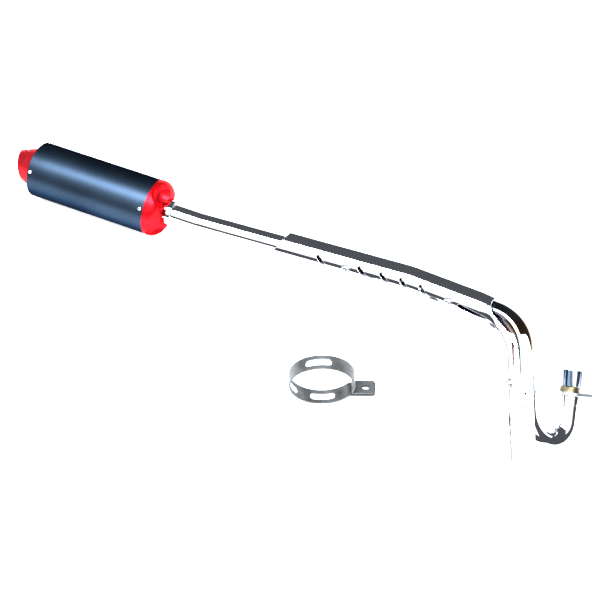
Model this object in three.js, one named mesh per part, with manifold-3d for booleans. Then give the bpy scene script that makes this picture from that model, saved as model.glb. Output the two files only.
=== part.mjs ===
// Racing exhaust for a small pit bike: header pipe, heat shield, silencer and its loose band clamp.
// Millimetres, +Z up. The system lies on its inboard side: silencer and U-bend on the floor,
// heat shield upwards. The origin is at the centre of the bottom of its bounding box.
import * as THREE from 'three';
import { mergeVertices } from 'three/addons/utils/BufferGeometryUtils.js';
import Module from 'manifold-3d';

const wasm = await Module();
wasm.setup();

// ---------------------------------------------------------------- driving dimensions
const GAP = 0.3; // between faces that touch
const SLIP = 0.5; // between tubes that slide in one another

const PIPE_OD = 28;
const PIPE_WALL = 1.5;
const HEAD_PIPE_OD = 29.4; // last stretch before the flange

const CAN_OD = 80;
const CAN_LENGTH = 183;
const CAN_WALL = 1.5;
const CAN_HEADING = -23; // degrees in plan, outlet towards inlet
const CAP_SKIRT = 13; // how far each cap reaches into the sleeve
const CAP_SKIRT_WALL = 4;
const CAP_RIM = 5;
const CAP_LIP = 0.4; // how far a cap stands proud of the sleeve
const INLET_CAP_LENGTH = 21;
const INLET_CAP_NOSE = 20; // radius of the nose of the inlet cap
const NOSE_RECESS = 5; // depth of the dish in the nose
const OUTLET_CAP_LENGTH = 35;
const OUTLET_BASE = 32; // radius of the nozzle where it leaves the sleeve
const OUTLET_TIP = 19; // radius of the nozzle's tip
const OUTLET_INSET = 1; // how far the outlet cap's face lies inside the sleeve
const OUTLET_SLASH = 18; // degrees, slant of the outlet face
const SLASH_TURN = -34; // degrees, towards the side where the nozzle is shortest
const SCOOPS = 3;
const SCOOP_RADIUS = 20;
const SCOOP_REACH = 19; // half the length of a scoop, along the silencer
const SCOOP_CENTRE = 35; // from the silencer's axis
const SCOOP_TURN = 90; // degrees, where the first scoop lies
const CORE_OD = 34;
const CORE_WALL = 1.2;
const NECK_WALL = 1.5;
const NECK_OVERLAP = 32; // how far the neck slides into the tail pipe
const NECK_SHOWING = 3; // between the cap's nose and the neck ring
const RING_OD = 36;
const RING_LENGTH = 8;
const RIVETS_PER_END = 4;
const RIVET_HEAD = 5.6;
const RIVET_SHANK = 3;
const RIVET_HEAD_HEIGHT = 1.9;
const RIVET_INSET = 4.5;
const RIVET_TURN = 42; // degrees, where the first rivet lies
const BAFFLE_OD = 24;
const BAFFLE_WALL = 1;
const BAFFLE_LENGTH = 62;
const BAFFLE_INSET = 2; // from the nozzle's short side
const BAFFLE_SCREW_HEAD = 8;
const BAFFLE_SCREW_HEIGHT = 3;
const BAFFLE_SCREW_SHANK = 4;
const BAFFLE_SCREW_PLACE = 21; // from the sleeve's edge
const BAFFLE_SCREW_TURN = 116;
const BAFFLE_SCREW_SEAT = 19.4; // from the silencer's axis
const BAFFLE_SCREW_POCKET = 10.4; // diameter

const HEAD_LENGTH = 12; // of the sleeve on the last stretch of pipe
const WELD_BEAD_WIDTH = 3;
const WELD_BEAD_HEIGHT = 0.9;

const COLLAR_OD = 25.4;
const COLLAR_WALL = 2.2;
const COLLAR_LENGTH = 11;
const SPIGOT_OD = 27.6;
const SPIGOT_LENGTH = 21;
const FLANGE_LENGTH = 60;
const FLANGE_WIDTH = 38;
const FLANGE_THICKNESS = 4;
const FLANGE_TILT_PLAY = 0.8; // radial play of the loose flange on the collar
const STUD_SPACING = 45;
const STUD_HOLE = 7;
const FLANGE_TURN = 78; // degrees, how the loose flange happens to lie

const SHIELD_RADIUS = 22; // outside
const SHIELD_WALL = 1.2;
const SHIELD_WRAP = 82; // degrees to each side of its crown
const BOSS_OD = 9;
const SCREW_SHANK = 5;
const SCREW_HEAD = 10;
const SCREW_HEAD_HEIGHT = 3.2;
const HEX_SOCKET = 1.7; // radius over the corners
const HEX_DEPTH = 1.8;
const WASHER_OD = 12.5;
const WASHER_THICKNESS = 1;
const SLOT_WIDTH = 5.2;
const SLOT_LENGTH = 30;
const SLOT_SLANT = 44; // degrees off the pipe's direction
const SLOT_ROW_TURN = 9; // degrees from the shield's crown
const VENT_HOLE = 3.6;
const START_SLANT = 30; // degrees, cut of the end nearest the silencer
const START_TRIM = 12;

const BAND_WALL = 2;
const BAND_WIDTH = 20;
const BAND_PLAY = 0.5; // between the band's bore and the sleeve
const EAR_LENGTH = 27;
const EAR_GAP = 3;
const EAR_DROP = 30; // degrees below the ring's centre
const EAR_HOLE = 7;
const BAND_SLOT_LENGTH = 34;
const BAND_SLOT_WIDTH = 9;
const BAND_SLOTS = [97, 198, 272]; // degrees round the ring from its ears' side
const CLAMP_PLACE = { x: 28, y: -124 };
const PIPE_SIDES = 20; // flats round a bent pipe
const SLOT_SIDES = 5; // flats round each end of a slot
const SHIELD_STEP = 12; // degrees of bend to each flat of the shield
const PIPE_STEP = 15; // degrees of bend to each flat of the pipe
const SHIELD_OFFSET = 112; // from the kink to the shield's first edge
const WELD_OFFSET = 132; // from the kink to the weld between tail pipe and header

// ---------------------------------------------------------------- the route of the pipe
const CAN_RADIUS = CAN_OD / 2;
const heading = new THREE.Vector3(1, 0, 0).applyAxisAngle(new THREE.Vector3(0, 0, 1), rad(CAN_HEADING));
const canInlet = new THREE.Vector3(-206.5, 166.5, CAN_RADIUS);
const PIPE_START = INLET_CAP_LENGTH + NECK_SHOWING;
const STUB_LENGTH = 47; // straight stretch of tail pipe in line with the silencer
const pipeEntry = canInlet.clone().addScaledVector(heading, PIPE_START);
const kink = pipeEntry.clone().addScaledVector(heading, STUB_LENGTH);

const elbow = new THREE.Vector3(284, -58, 78);

// Corners of the pipe, each with the centre-line radius it is bent to.
const corners = [
  { at: pipeEntry, bend: 0 },
  { at: kink, bend: 90 },
  { at: new THREE.Vector3(150, 18, 63), bend: 160 },
  { at: elbow, bend: 56 },
  { at: new THREE.Vector3(283, -201, 42), bend: 28 },
  { at: new THREE.Vector3(333, -205, -2.5), bend: 28 },
  { at: new THREE.Vector3(341.5, -146, 40), bend: 0 },
];
// The heat shield takes the elbow in a wider sweep than the pipe, then runs straight past the U-bend.
const shieldElbow = elbow.clone().add(new THREE.Vector3(-3, 0, 0));
const shieldTip = new THREE.Vector3(275, -241, 30);
const shieldCorners = [...corners.slice(0, 3), { at: shieldElbow, bend: 84 }, { at: shieldTip, bend: 0 }];
const pipeCrown = new THREE.Vector3(0.1, -0.5, 0.86).normalize();
const shieldCrown = new THREE.Vector3(-0.95, -0.8, 0.65).normalize();

function rad(degrees) {
  return (degrees * Math.PI) / 180;
}

// A pipe route of straights and true arcs. Each straight is one step and each arc a few, so a
// sweep puts its rings only where the pipe bends.
class PipeRoute extends THREE.Curve {
  constructor(list, crown, stepDegrees) {
    super();
    this.crown = crown;
    this.stations = [];
    let from = list[0].at.clone();
    let reached = 0;
    const add = (point, tangent) => {
      const last = this.stations.at(-1);
      if (last) reached += last.point.distanceTo(point);
      this.stations.push({ point, tangent: tangent.clone().normalize(), s: reached });
    };
    const addStraight = (a, b, includeStart) => {
      const tangent = b.clone().sub(a).normalize();
      if (includeStart) add(a.clone(), tangent);
      add(b.clone(), tangent);
    };
    for (let i = 1; i < list.length - 1; i++) {
      const corner = list[i].at;
      const into = corner.clone().sub(from).normalize();
      const out = list[i + 1].at.clone().sub(corner).normalize();
      const turn = into.angleTo(out);
      const set = list[i].bend * Math.tan(turn / 2);
      const arcStart = corner.clone().addScaledVector(into, -set);
      addStraight(from, arcStart, i === 1);
      const centre = out.clone().sub(into).normalize();
      centre.multiplyScalar(list[i].bend / Math.cos(turn / 2)).add(corner);
      const axis = into.clone().cross(out).normalize();
      const arm = arcStart.clone().sub(centre);
      const count = Math.max(2, Math.ceil(THREE.MathUtils.radToDeg(turn) / stepDegrees));
      for (let k = 1; k <= count; k++) {
        const angle = (turn * k) / count;
        const point = arm.clone().applyAxisAngle(axis, angle).add(centre);
        add(point, into.clone().applyAxisAngle(axis, angle));
      }
      from = corner.clone().addScaledVector(out, set);
    }
    addStraight(from, list.at(-1).at, false);
    this.length = reached;
  }

  // The same route between two distances along it.
  stretch(start, end) {
    const part = Object.create(PipeRoute.prototype);
    Object.assign(part, this);
    const inside = this.stations.filter((station) => station.s > start + 1 && station.s < end - 1);
    part.stations = [this.at(start), ...inside, this.at(end)];
    return part;
  }

  // A frame at a distance along the route: +Y out of the pipe at an angle from its crown, +X along it.
  frameAt(distance, aroundDegrees = 0) {
    const { point, tangent } = this.at(distance);
    const out = squareTo(this.crown, tangent).applyAxisAngle(tangent, rad(aroundDegrees));
    const across = tangent.clone().cross(out);
    return new THREE.Matrix4().makeBasis(tangent, out, across).setPosition(point);
  }

  at(s) {
    const after = this.stations.findIndex((station) => station.s >= s - 1e-6);
    const next = this.stations[Math.max(1, after)];
    const last = this.stations[this.stations.indexOf(next) - 1];
    const share = (s - last.s) / (next.s - last.s);
    const point = last.point.clone().lerp(next.point, share);
    const tangent = last.tangent.clone().lerp(next.tangent, share).normalize();
    return { point, tangent, s };
  }

  getPointAt(u) {
    return this.stations[Math.round(u * this.steps)].point.clone();
  }

  get steps() {
    return this.stations.length - 1;
  }

  // The section's first axis always points to the crown, square to the pipe.
  computeFrenetFrames() {
    const tangents = this.stations.map((station) => station.tangent);
    const normals = tangents.map((tangent) => squareTo(this.crown, tangent));
    const binormals = tangents.map((tangent, i) => tangent.clone().cross(normals[i]));
    return { tangents, normals, binormals };
  }
}

function squareTo(vector, tangent) {
  return vector.clone().addScaledVector(tangent, -vector.dot(tangent)).normalize();
}

// ---------------------------------------------------------------- solids
function closed(geometry) {
  const bare = geometry.clone();
  bare.deleteAttribute('normal');
  bare.deleteAttribute('uv');
  const merged = mergeVertices(bare, 1e-4);
  const index = merged.index.array;
  const kept = [];
  for (let i = 0; i < index.length; i += 3) {
    const [a, b, c] = index.slice(i, i + 3);
    if (a !== b && b !== c && c !== a) kept.push(a, b, c);
  }
  merged.setIndex(kept);
  return volume(merged) < 0 ? turnedOut(merged) : merged;
}

function volume(geometry) {
  const position = geometry.attributes.position;
  const index = geometry.index.array;
  const corner = (i) => new THREE.Vector3().fromBufferAttribute(position, index[i]);
  let sum = 0;
  for (let i = 0; i < index.length; i += 3) sum += corner(i).dot(corner(i + 1).cross(corner(i + 2)));
  return sum / 6;
}

function turnedOut(geometry) {
  const index = geometry.index.array;
  for (let i = 0; i < index.length; i += 3) [index[i], index[i + 1]] = [index[i + 1], index[i]];
  return geometry;
}

function solid(geometry) {
  const body = closed(geometry);
  const vertProperties = new Float32Array(body.attributes.position.array);
  const triVerts = new Uint32Array(body.index.array);
  return new wasm.Manifold(new wasm.Mesh({ numProp: 3, vertProperties, triVerts }));
}

function geometryOf(manifold) {
  const mesh = manifold.getMesh();
  const geometry = new THREE.BufferGeometry();
  geometry.setAttribute('position', new THREE.BufferAttribute(mesh.vertProperties, 3));
  geometry.setIndex(new THREE.BufferAttribute(mesh.triVerts, 1));
  return geometry;
}

function cut(geometry, ...tools) {
  let result = solid(geometry);
  for (const tool of tools) result = result.subtract(solid(tool));
  return geometryOf(result);
}

// A ring or tube turned about +Y from a closed profile of [radius, height] corners.
function turned(profile, segments = 40) {
  const points = [...profile, profile[0]].map(([r, y]) => new THREE.Vector2(r, y));
  return new THREE.LatheGeometry(points, segments);
}

function tube(inner, outer, from, to, segments = 40) {
  return turned([[inner, from], [outer, from], [outer, to], [inner, to]], segments);
}

// A rod along +Y from one height to another.
function rod(radius, from, to, segments = 20) {
  return new THREE.CylinderGeometry(radius, radius, to - from, segments).translate(0, (from + to) / 2, 0);
}

function ringSection(outer, inner) {
  const shape = new THREE.Shape().absarc(0, 0, outer, 0, 2 * Math.PI, false);
  if (inner > 0) shape.holes.push(new THREE.Path().absarc(0, 0, inner, 0, 2 * Math.PI, true));
  return shape;
}

function sweep(shape, route, curveSegments) {
  return new THREE.ExtrudeGeometry(shape, { steps: route.steps, extrudePath: route, curveSegments });
}

function slotTool(length, width, depthFrom, depthTo) {
  const half = (length - width) / 2;
  const shape = new THREE.Shape();
  shape.absarc(half, 0, width / 2, -Math.PI / 2, Math.PI / 2, false);
  shape.absarc(-half, 0, width / 2, Math.PI / 2, Math.PI * 1.5, false);
  const depth = depthTo - depthFrom;
  const block = new THREE.ExtrudeGeometry(shape, { depth, bevelEnabled: false, curveSegments: SLOT_SIDES });
  return block.translate(0, 0, depthFrom).rotateX(-Math.PI / 2);
}

// ---------------------------------------------------------------- materials
const chrome = () => new THREE.MeshStandardMaterial({ color: 0xd8dadd, metalness: 1, roughness: 0.08 });
const steel = () => new THREE.MeshStandardMaterial({ color: 0xb4b5b8, metalness: 1, roughness: 0.35 });
const zinc = () => new THREE.MeshStandardMaterial({ color: 0x9a9b9e, metalness: 1, roughness: 0.5 });
const red = () => new THREE.MeshStandardMaterial({ color: 0xd0142a, metalness: 0.6, roughness: 0.3 });
const black = () => new THREE.MeshStandardMaterial({ color: 0x16181c, metalness: 0.3, roughness: 0.45 });
const bronze = () => new THREE.MeshStandardMaterial({ color: 0x8a7d52, metalness: 1, roughness: 0.3 });
const wool = () => new THREE.MeshStandardMaterial({ color: 0xd9cfae, metalness: 0, roughness: 1 });

function piece(name, geometry, material, parent) {
  const mesh = new THREE.Mesh(closed(geometry), material);
  mesh.name = name;
  parent.add(mesh);
  return mesh;
}

const exhaust = new THREE.Group();

// ---------------------------------------------------------------- header and tail pipe
const route = new PipeRoute(corners, pipeCrown, PIPE_STEP);
const pipeJoint = STUB_LENGTH + WELD_OFFSET; // where the tail pipe is welded to the header
const PIPE_RADIUS = PIPE_OD / 2;
const PIPE_BORE = PIPE_RADIUS - PIPE_WALL;
const headStart = route.length - HEAD_LENGTH;

function buildPipes() {
  const tail = route.stretch(0, pipeJoint - GAP / 2);
  const header = route.stretch(pipeJoint + GAP / 2, headStart);
  const section = ringSection(PIPE_RADIUS, PIPE_BORE);
  piece('tail_pipe', sweep(section, tail, PIPE_SIDES / 2), chrome(), exhaust);
  piece('header_pipe', sweep(section, header, PIPE_SIDES / 2), chrome(), exhaust);
  const bead = new THREE.Group();
  bead.applyMatrix4(route.frameAt(pipeJoint));
  exhaust.add(bead);
  const half = WELD_BEAD_WIDTH / 2;
  const inner = PIPE_RADIUS + GAP;
  const crest = inner + WELD_BEAD_HEIGHT;
  const profile = [[inner, -half], [crest, -half * 0.6], [crest, half * 0.6], [inner, half]];
  piece('pipe_weld', turned(profile, 32).rotateZ(-Math.PI / 2), steel(), bead);
}

// ---------------------------------------------------------------- spigot, collar and flange
function buildPortEnd() {
  const end = new THREE.Group();
  const toSpigot = new THREE.Matrix4().makeRotationZ(-Math.PI / 2);
  end.applyMatrix4(route.frameAt(headStart).multiply(toSpigot));
  exhaust.add(end);
  const shoulder = GAP + HEAD_LENGTH;
  const spigotStart = shoulder + COLLAR_LENGTH + GAP;
  const bore = COLLAR_OD / 2 - COLLAR_WALL;
  const lip = shoulder - PIPE_WALL;
  const sleeveOuter = HEAD_PIPE_OD / 2;
  // The sleeve's far end is drawn in to the collar's bore, so that the two meet face to face.
  const sleeve = [
    [PIPE_BORE, GAP],
    [sleeveOuter, GAP],
    [sleeveOuter, shoulder],
    [bore, shoulder],
    [bore, lip],
    [PIPE_BORE, lip],
  ];
  piece('head_sleeve', turned(sleeve, 32), chrome(), end);
  piece('gasket_collar', tube(bore, COLLAR_OD / 2, shoulder + GAP, spigotStart - GAP, 32), bronze(), end);
  const tip = spigotStart + SPIGOT_LENGTH;
  const outer = SPIGOT_OD / 2;
  const spigot = [[bore, spigotStart], [outer, spigotStart], [outer, tip - 1], [outer - 1, tip], [bore, tip]];
  piece('port_spigot', turned(spigot, 32), chrome(), end);
  const flangeHole = COLLAR_OD / 2 + FLANGE_TILT_PLAY;
  const plate = flangeOutline();
  plate.holes.push(new THREE.Path().absarc(0, 0, flangeHole, 0, 2 * Math.PI, true));
  for (const side of [-1, 1]) {
    const x = (side * STUD_SPACING) / 2;
    plate.holes.push(new THREE.Path().absarc(x, 0, STUD_HOLE / 2, 0, 2 * Math.PI, true));
  }
  const cutting = { depth: FLANGE_THICKNESS, bevelEnabled: false, curveSegments: 9 };
  const blank = new THREE.ExtrudeGeometry(plate, cutting);
  const flange = piece('header_flange', blank.rotateX(-Math.PI / 2), steel(), end);
  flange.position.y = shoulder + GAP * 2;
  flange.rotation.y = rad(FLANGE_TURN);
}

// Two round lugs joined by tangent lines to the round middle.
function flangeOutline() {
  const lug = FLANGE_LENGTH / 2 - STUD_SPACING / 2;
  const middle = FLANGE_WIDTH / 2;
  const lean = Math.asin((middle - lug) / (STUD_SPACING / 2));
  const top = Math.PI / 2 - lean;
  const shape = new THREE.Shape();
  shape.absarc(STUD_SPACING / 2, 0, lug, -top, top, false);
  shape.absarc(0, 0, middle, top, Math.PI - top, false);
  shape.absarc(-STUD_SPACING / 2, 0, lug, Math.PI - top, Math.PI + top, false);
  shape.absarc(0, 0, middle, Math.PI + top, 2 * Math.PI - top, false);
  return shape;
}

// ---------------------------------------------------------------- heat shield
const shieldStart = STUB_LENGTH + SHIELD_OFFSET;
const SHIELD_INNER = SHIELD_RADIUS - SHIELD_WALL;
const shieldRoute = new PipeRoute(shieldCorners, shieldCrown, SHIELD_STEP);
const SHIELD_LENGTH = shieldRoute.length - shieldStart;
const screwStations = [116, 265, 433];
const slantedSlots = [84, 143, 174, 203, 232];
const curvedSlot = { at: 300, length: 43, turn: 6, around: 6 };
const legSlots = { at: 398, length: 36, around: [-14, 40] };
const vents = { at: 448, pitch: 18, rows: 4, even: [-52, -6], odd: [-30, 32] };
const elbowCutaway = { at: 345, length: 62, width: 34, around: -72 };

function buildShield() {
  const section = new THREE.Shape();
  const wrap = rad(SHIELD_WRAP);
  section.absarc(0, 0, SHIELD_RADIUS, -wrap, wrap, false);
  section.absarc(0, 0, SHIELD_INNER, wrap, -wrap, true);
  section.closePath();
  const run = shieldRoute.stretch(shieldStart, shieldRoute.length);
  const channel = sweep(section, run, 7);
  const from = SHIELD_INNER - 4;
  const to = SHIELD_RADIUS + 4;
  const tools = [];
  const cutThrough = (tool, distance, around) =>
    tools.push(tool.applyMatrix4(shieldRoute.frameAt(shieldStart + distance, around)));
  for (const distance of screwStations) cutThrough(rod(SCREW_SHANK / 2 + GAP, from, to, 12), distance, 0);
  for (const distance of slantedSlots) {
    cutThrough(slotTool(SLOT_LENGTH, SLOT_WIDTH, from, to).rotateY(-rad(SLOT_SLANT)), distance, SLOT_ROW_TURN);
  }
  const long = slotTool(curvedSlot.length, SLOT_WIDTH, from, to).rotateY(-rad(curvedSlot.turn));
  cutThrough(long, curvedSlot.at, curvedSlot.around);
  for (const around of legSlots.around) {
    cutThrough(slotTool(legSlots.length, SLOT_WIDTH, from, to), legSlots.at, around);
  }
  for (let row = 0; row < vents.rows; row++) {
    const distance = vents.at + row * vents.pitch;
    for (const around of vents.even) cutThrough(rod(VENT_HOLE / 2, from, to, 8), distance, around);
    const between = distance + vents.pitch / 2;
    for (const around of vents.odd) cutThrough(rod(VENT_HOLE / 2, from, to, 8), between, around);
  }
  const bite = slotTool(elbowCutaway.length, elbowCutaway.width, from - 8, to + 14);
  cutThrough(bite, elbowCutaway.at, elbowCutaway.around);
  piece('heat_shield', cut(channel, ...tools, tipTrim(), startTrim()), chrome(), exhaust);
}

// Cuts the end of the shield nearest the silencer on a slant, shorter on its upper edge.
function startTrim() {
  const reach = SHIELD_RADIUS * 2.4;
  const tool = new THREE.BoxGeometry(reach * 2, reach * 2, reach * 2).translate(-reach, 0, 0);
  tool.rotateY(-rad(START_SLANT));
  return tool.applyMatrix4(shieldRoute.frameAt(shieldStart + START_TRIM));
}

// Rounds the free end of the shield off with a half-round nose.
function tipTrim() {
  const reach = SHIELD_RADIUS * 2;
  const nose = SHIELD_RADIUS;
  const block = new THREE.Shape();
  block.moveTo(0, -reach);
  block.lineTo(nose * 2, -reach);
  block.lineTo(nose * 2, reach);
  block.lineTo(0, reach);
  block.lineTo(0, nose);
  block.absarc(0, 0, nose, Math.PI / 2, -Math.PI / 2, true);
  block.closePath();
  const tool = new THREE.ExtrudeGeometry(block, { depth: reach * 2, bevelEnabled: false, curveSegments: 8 });
  tool.translate(0, 0, -reach).rotateX(-Math.PI / 2);
  return tool.applyMatrix4(shieldRoute.frameAt(shieldStart + SHIELD_LENGTH - nose));
}

function buildShieldFixings() {
  screwStations.forEach((distance, i) => {
    const fixing = new THREE.Group();
    fixing.applyMatrix4(shieldRoute.frameAt(shieldStart + distance));
    exhaust.add(fixing);
    const seat = PIPE_RADIUS + GAP;
    const hole = SCREW_SHANK / 2 + GAP / 2;
    const local = new THREE.Matrix4().copy(fixing.matrix).invert();
    const pipe = sweep(ringSection(seat, 0), route, PIPE_SIDES / 2).applyMatrix4(local);
    const underShield = ringSection(SHIELD_INNER - GAP, 0);
    const shieldBore = sweep(underShield, shieldRoute, PIPE_SIDES / 2).applyMatrix4(local);
    const blank = solid(tube(hole, BOSS_OD / 2, PIPE_RADIUS - 3, SHIELD_RADIUS, 16));
    const boss = blank.intersect(solid(shieldBore)).subtract(solid(pipe));
    piece(`shield_boss_${i + 1}`, geometryOf(boss), steel(), fixing);
    const washerFloor = SHIELD_RADIUS + GAP;
    const washerTop = washerFloor + WASHER_THICKNESS;
    const washer = tube(SCREW_SHANK / 2 + GAP, WASHER_OD / 2, washerFloor, washerTop, 16);
    piece(`shield_washer_${i + 1}`, washer, steel(), fixing);
    piece(`shield_screw_${i + 1}`, buttonScrew(seat + 0.8, washerTop + GAP), steel(), fixing);
  });
}

// A button-head screw along +Y with a hex socket in its head.
function buttonScrew(tip, headFloor) {
  const shank = SCREW_SHANK / 2;
  const head = SCREW_HEAD / 2;
  const top = headFloor + SCREW_HEAD_HEIGHT;
  const profile = [
    [0, tip],
    [shank - 0.5, tip],
    [shank, tip + 0.5],
    [shank, headFloor],
    [head, headFloor],
    [head * 0.96, headFloor + SCREW_HEAD_HEIGHT * 0.4],
    [head * 0.8, headFloor + SCREW_HEAD_HEIGHT * 0.8],
    [head * 0.55, top],
    [0, top],
  ].map(([r, y]) => new THREE.Vector2(r, y));
  const body = new THREE.LatheGeometry(profile, 16);
  const socket = rod(HEX_SOCKET, top - HEX_DEPTH, top + 1, 6);
  return cut(body, socket);
}

// ---------------------------------------------------------------- silencer
// Turned about +Y: the inlet end of the sleeve is at 0 and the outlet end at CAN_LENGTH.
const silencer = new THREE.Group();
silencer.position.copy(canInlet);
const canBack = heading.clone().negate();
const canSide = new THREE.Vector3(0, 0, 1);
silencer.setRotationFromMatrix(new THREE.Matrix4().makeBasis(canSide, canBack, canSide.clone().cross(canBack)));
exhaust.add(silencer);

const SLEEVE_BORE = CAN_RADIUS - CAN_WALL;
const SKIRT_RADIUS = SLEEVE_BORE - GAP;
const CAP_FACE = 3; // thickness of a cap behind the sleeve's edge
const OUTLET_PLATE = 6; // thickness of the outlet cap's plate
const CORE_END = CAN_LENGTH - OUTLET_INSET - OUTLET_PLATE / 2 - GAP; // seated in the outlet plate
const NECK_RADIUS = PIPE_BORE - SLIP;
const NECK_BORE = NECK_RADIUS - NECK_WALL;
const CORE_RADIUS = CORE_OD / 2;
const CORE_SOCKET = 6;

// Radial tools through the sleeve and a cap's skirt, shared by the holes and the rivets.
function rivetPlaces(end) {
  const y = end === 'inlet' ? RIVET_INSET : CAN_LENGTH - RIVET_INSET;
  const turns = Array.from({ length: RIVETS_PER_END }, (_, i) => (360 / RIVETS_PER_END) * i + RIVET_TURN);
  return turns.map((turn) => new THREE.Matrix4().makeRotationY(rad(turn)).setPosition(0, y, 0));
}

function rivetHoles(end) {
  const hole = RIVET_SHANK / 2 + GAP / 2;
  const tool = () => rod(hole, SKIRT_RADIUS - CAP_SKIRT_WALL - 1, CAN_RADIUS + 2, 10).rotateX(Math.PI / 2);
  return rivetPlaces(end).map((place) => tool().applyMatrix4(place));
}

function buildSleeve() {
  const shell = tube(SLEEVE_BORE, CAN_RADIUS, 0, CAN_LENGTH, 48);
  piece('can_sleeve', cut(shell, ...rivetHoles('inlet'), ...rivetHoles('outlet')), black(), silencer);
}

function buildInletCap() {
  const rim = CAN_RADIUS + CAP_LIP;
  const bore = NECK_RADIUS + GAP;
  const nose = -INLET_CAP_LENGTH;
  const skirtBore = SKIRT_RADIUS - CAP_SKIRT_WALL;
  const profile = [[bore, nose + NOSE_RECESS], [INLET_CAP_NOSE - 4, nose + NOSE_RECESS], [INLET_CAP_NOSE, nose]];
  const domeSteps = 5;
  const domeLength = INLET_CAP_LENGTH - CAP_RIM;
  for (let i = 1; i <= domeSteps; i++) {
    const angle = (Math.PI / 2) * (i / domeSteps);
    const r = INLET_CAP_NOSE + (rim - INLET_CAP_NOSE) * Math.sin(angle);
    profile.push([r, nose + domeLength * (1 - Math.cos(angle))]);
  }
  profile.push([rim, -GAP], [SKIRT_RADIUS, -GAP], [SKIRT_RADIUS, CAP_SKIRT]);
  profile.push([skirtBore, CAP_SKIRT]);
  const socket = CORE_RADIUS + GAP;
  profile.push([skirtBore, CAP_FACE], [socket, CAP_FACE], [socket, -CAP_FACE], [bore, -CAP_FACE]);
  const scoops = [];
  for (let i = 0; i < SCOOPS; i++) {
    const ball = new THREE.SphereGeometry(SCOOP_RADIUS, 18, 12);
    ball.scale(1, SCOOP_REACH / SCOOP_RADIUS, 1).translate(0, nose, SCOOP_CENTRE);
    scoops.push(ball.rotateY(rad((360 / SCOOPS) * i + SCOOP_TURN)));
  }
  piece('inlet_cap', cut(turned(profile, 48), ...scoops, ...rivetHoles('inlet')), red(), silencer);
}

function buildOutletCap() {
  const tip = CAN_LENGTH + OUTLET_CAP_LENGTH;
  const bore = BAFFLE_OD / 2 + SLIP;
  const skirtBore = SKIRT_RADIUS - CAP_SKIRT_WALL;
  const front = CAN_LENGTH - OUTLET_INSET;
  const back = front - OUTLET_PLATE;
  const socket = CORE_RADIUS + GAP;
  const profile = [
    [bore, CORE_END + GAP],
    [socket, CORE_END + GAP],
    [socket, back],
    [skirtBore, back],
    [skirtBore, CAN_LENGTH - CAP_SKIRT],
    [SKIRT_RADIUS, CAN_LENGTH - CAP_SKIRT],
    [SKIRT_RADIUS, front],
    [OUTLET_BASE, front],
    [OUTLET_TIP, tip],
    [bore, tip],
  ];
  const slash = new THREE.BoxGeometry(120, 40, 120).translate(0, 20, 0);
  slash.rotateX(rad(OUTLET_SLASH)).rotateY(rad(SLASH_TURN));
  slash.translate(0, tip - OUTLET_TIP * Math.tan(rad(OUTLET_SLASH)), 0);
  const hole = baffleScrewHole();
  piece('outlet_cap', cut(turned(profile, 48), slash, hole, ...rivetHoles('outlet')), red(), silencer);
}

// ---- the baffle and the screw that holds it in the outlet cap
function baffleScrewFrame() {
  const frame = new THREE.Matrix4().makeRotationY(rad(BAFFLE_SCREW_TURN));
  frame.setPosition(0, CAN_LENGTH + BAFFLE_SCREW_PLACE, 0);
  return frame.multiply(new THREE.Matrix4().makeRotationX(Math.PI / 2));
}

function baffleScrewHole() {
  const shank = rod(BAFFLE_SCREW_SHANK / 2 + GAP, 0, BAFFLE_SCREW_SEAT + 1, 16);
  const seat = rod(BAFFLE_SCREW_POCKET / 2, BAFFLE_SCREW_SEAT, BAFFLE_SCREW_SEAT + 30, 24);
  return geometryOf(solid(shank).add(solid(seat))).applyMatrix4(baffleScrewFrame());
}

function buildBaffle() {
  const outer = BAFFLE_OD / 2;
  const shortSide = OUTLET_CAP_LENGTH - OUTLET_TIP * Math.tan(rad(OUTLET_SLASH)) * 2;
  const tip = CAN_LENGTH + shortSide - BAFFLE_INSET;
  piece('baffle_insert', tube(outer - BAFFLE_WALL, outer, tip - BAFFLE_LENGTH, tip, 32), steel(), silencer);
  const screw = new THREE.Group();
  screw.applyMatrix4(baffleScrewFrame());
  silencer.add(screw);
  const seat = BAFFLE_SCREW_SEAT + GAP;
  const top = seat + BAFFLE_SCREW_HEIGHT;
  const head = BAFFLE_SCREW_HEAD / 2;
  const shank = BAFFLE_SCREW_SHANK / 2;
  const start = outer + GAP * 2;
  const profile = [
    [0, start],
    [shank, start],
    [shank, seat],
    [head, seat],
    [head, top - 1.2],
    [head * 0.75, top],
    [0, top],
  ].map(([r, y]) => new THREE.Vector2(r, y));
  const socket = rod(HEX_SOCKET, top - HEX_DEPTH, top + 2, 6);
  piece('baffle_screw', cut(new THREE.LatheGeometry(profile, 24), socket), steel(), screw);
}

// ---- the parts inside and the neck
function buildInside() {
  const from = -CAP_FACE + GAP;
  const core = tube(CORE_RADIUS - CORE_WALL, CORE_RADIUS, from, CORE_END, 32);
  piece('perforated_core', core, steel(), silencer);
  const woolFrom = CAP_SKIRT + GAP * 2;
  const woolTo = CAN_LENGTH - CAP_SKIRT - GAP * 2;
  piece('packing_wool', tube(CORE_RADIUS + GAP, SLEEVE_BORE - GAP, woolFrom, woolTo, 32), wool(), silencer);
  const neckTip = -PIPE_START - NECK_OVERLAP;
  piece('inlet_neck', tube(NECK_BORE, NECK_RADIUS, neckTip, -CORE_SOCKET, 32), chrome(), silencer);
}

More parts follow.
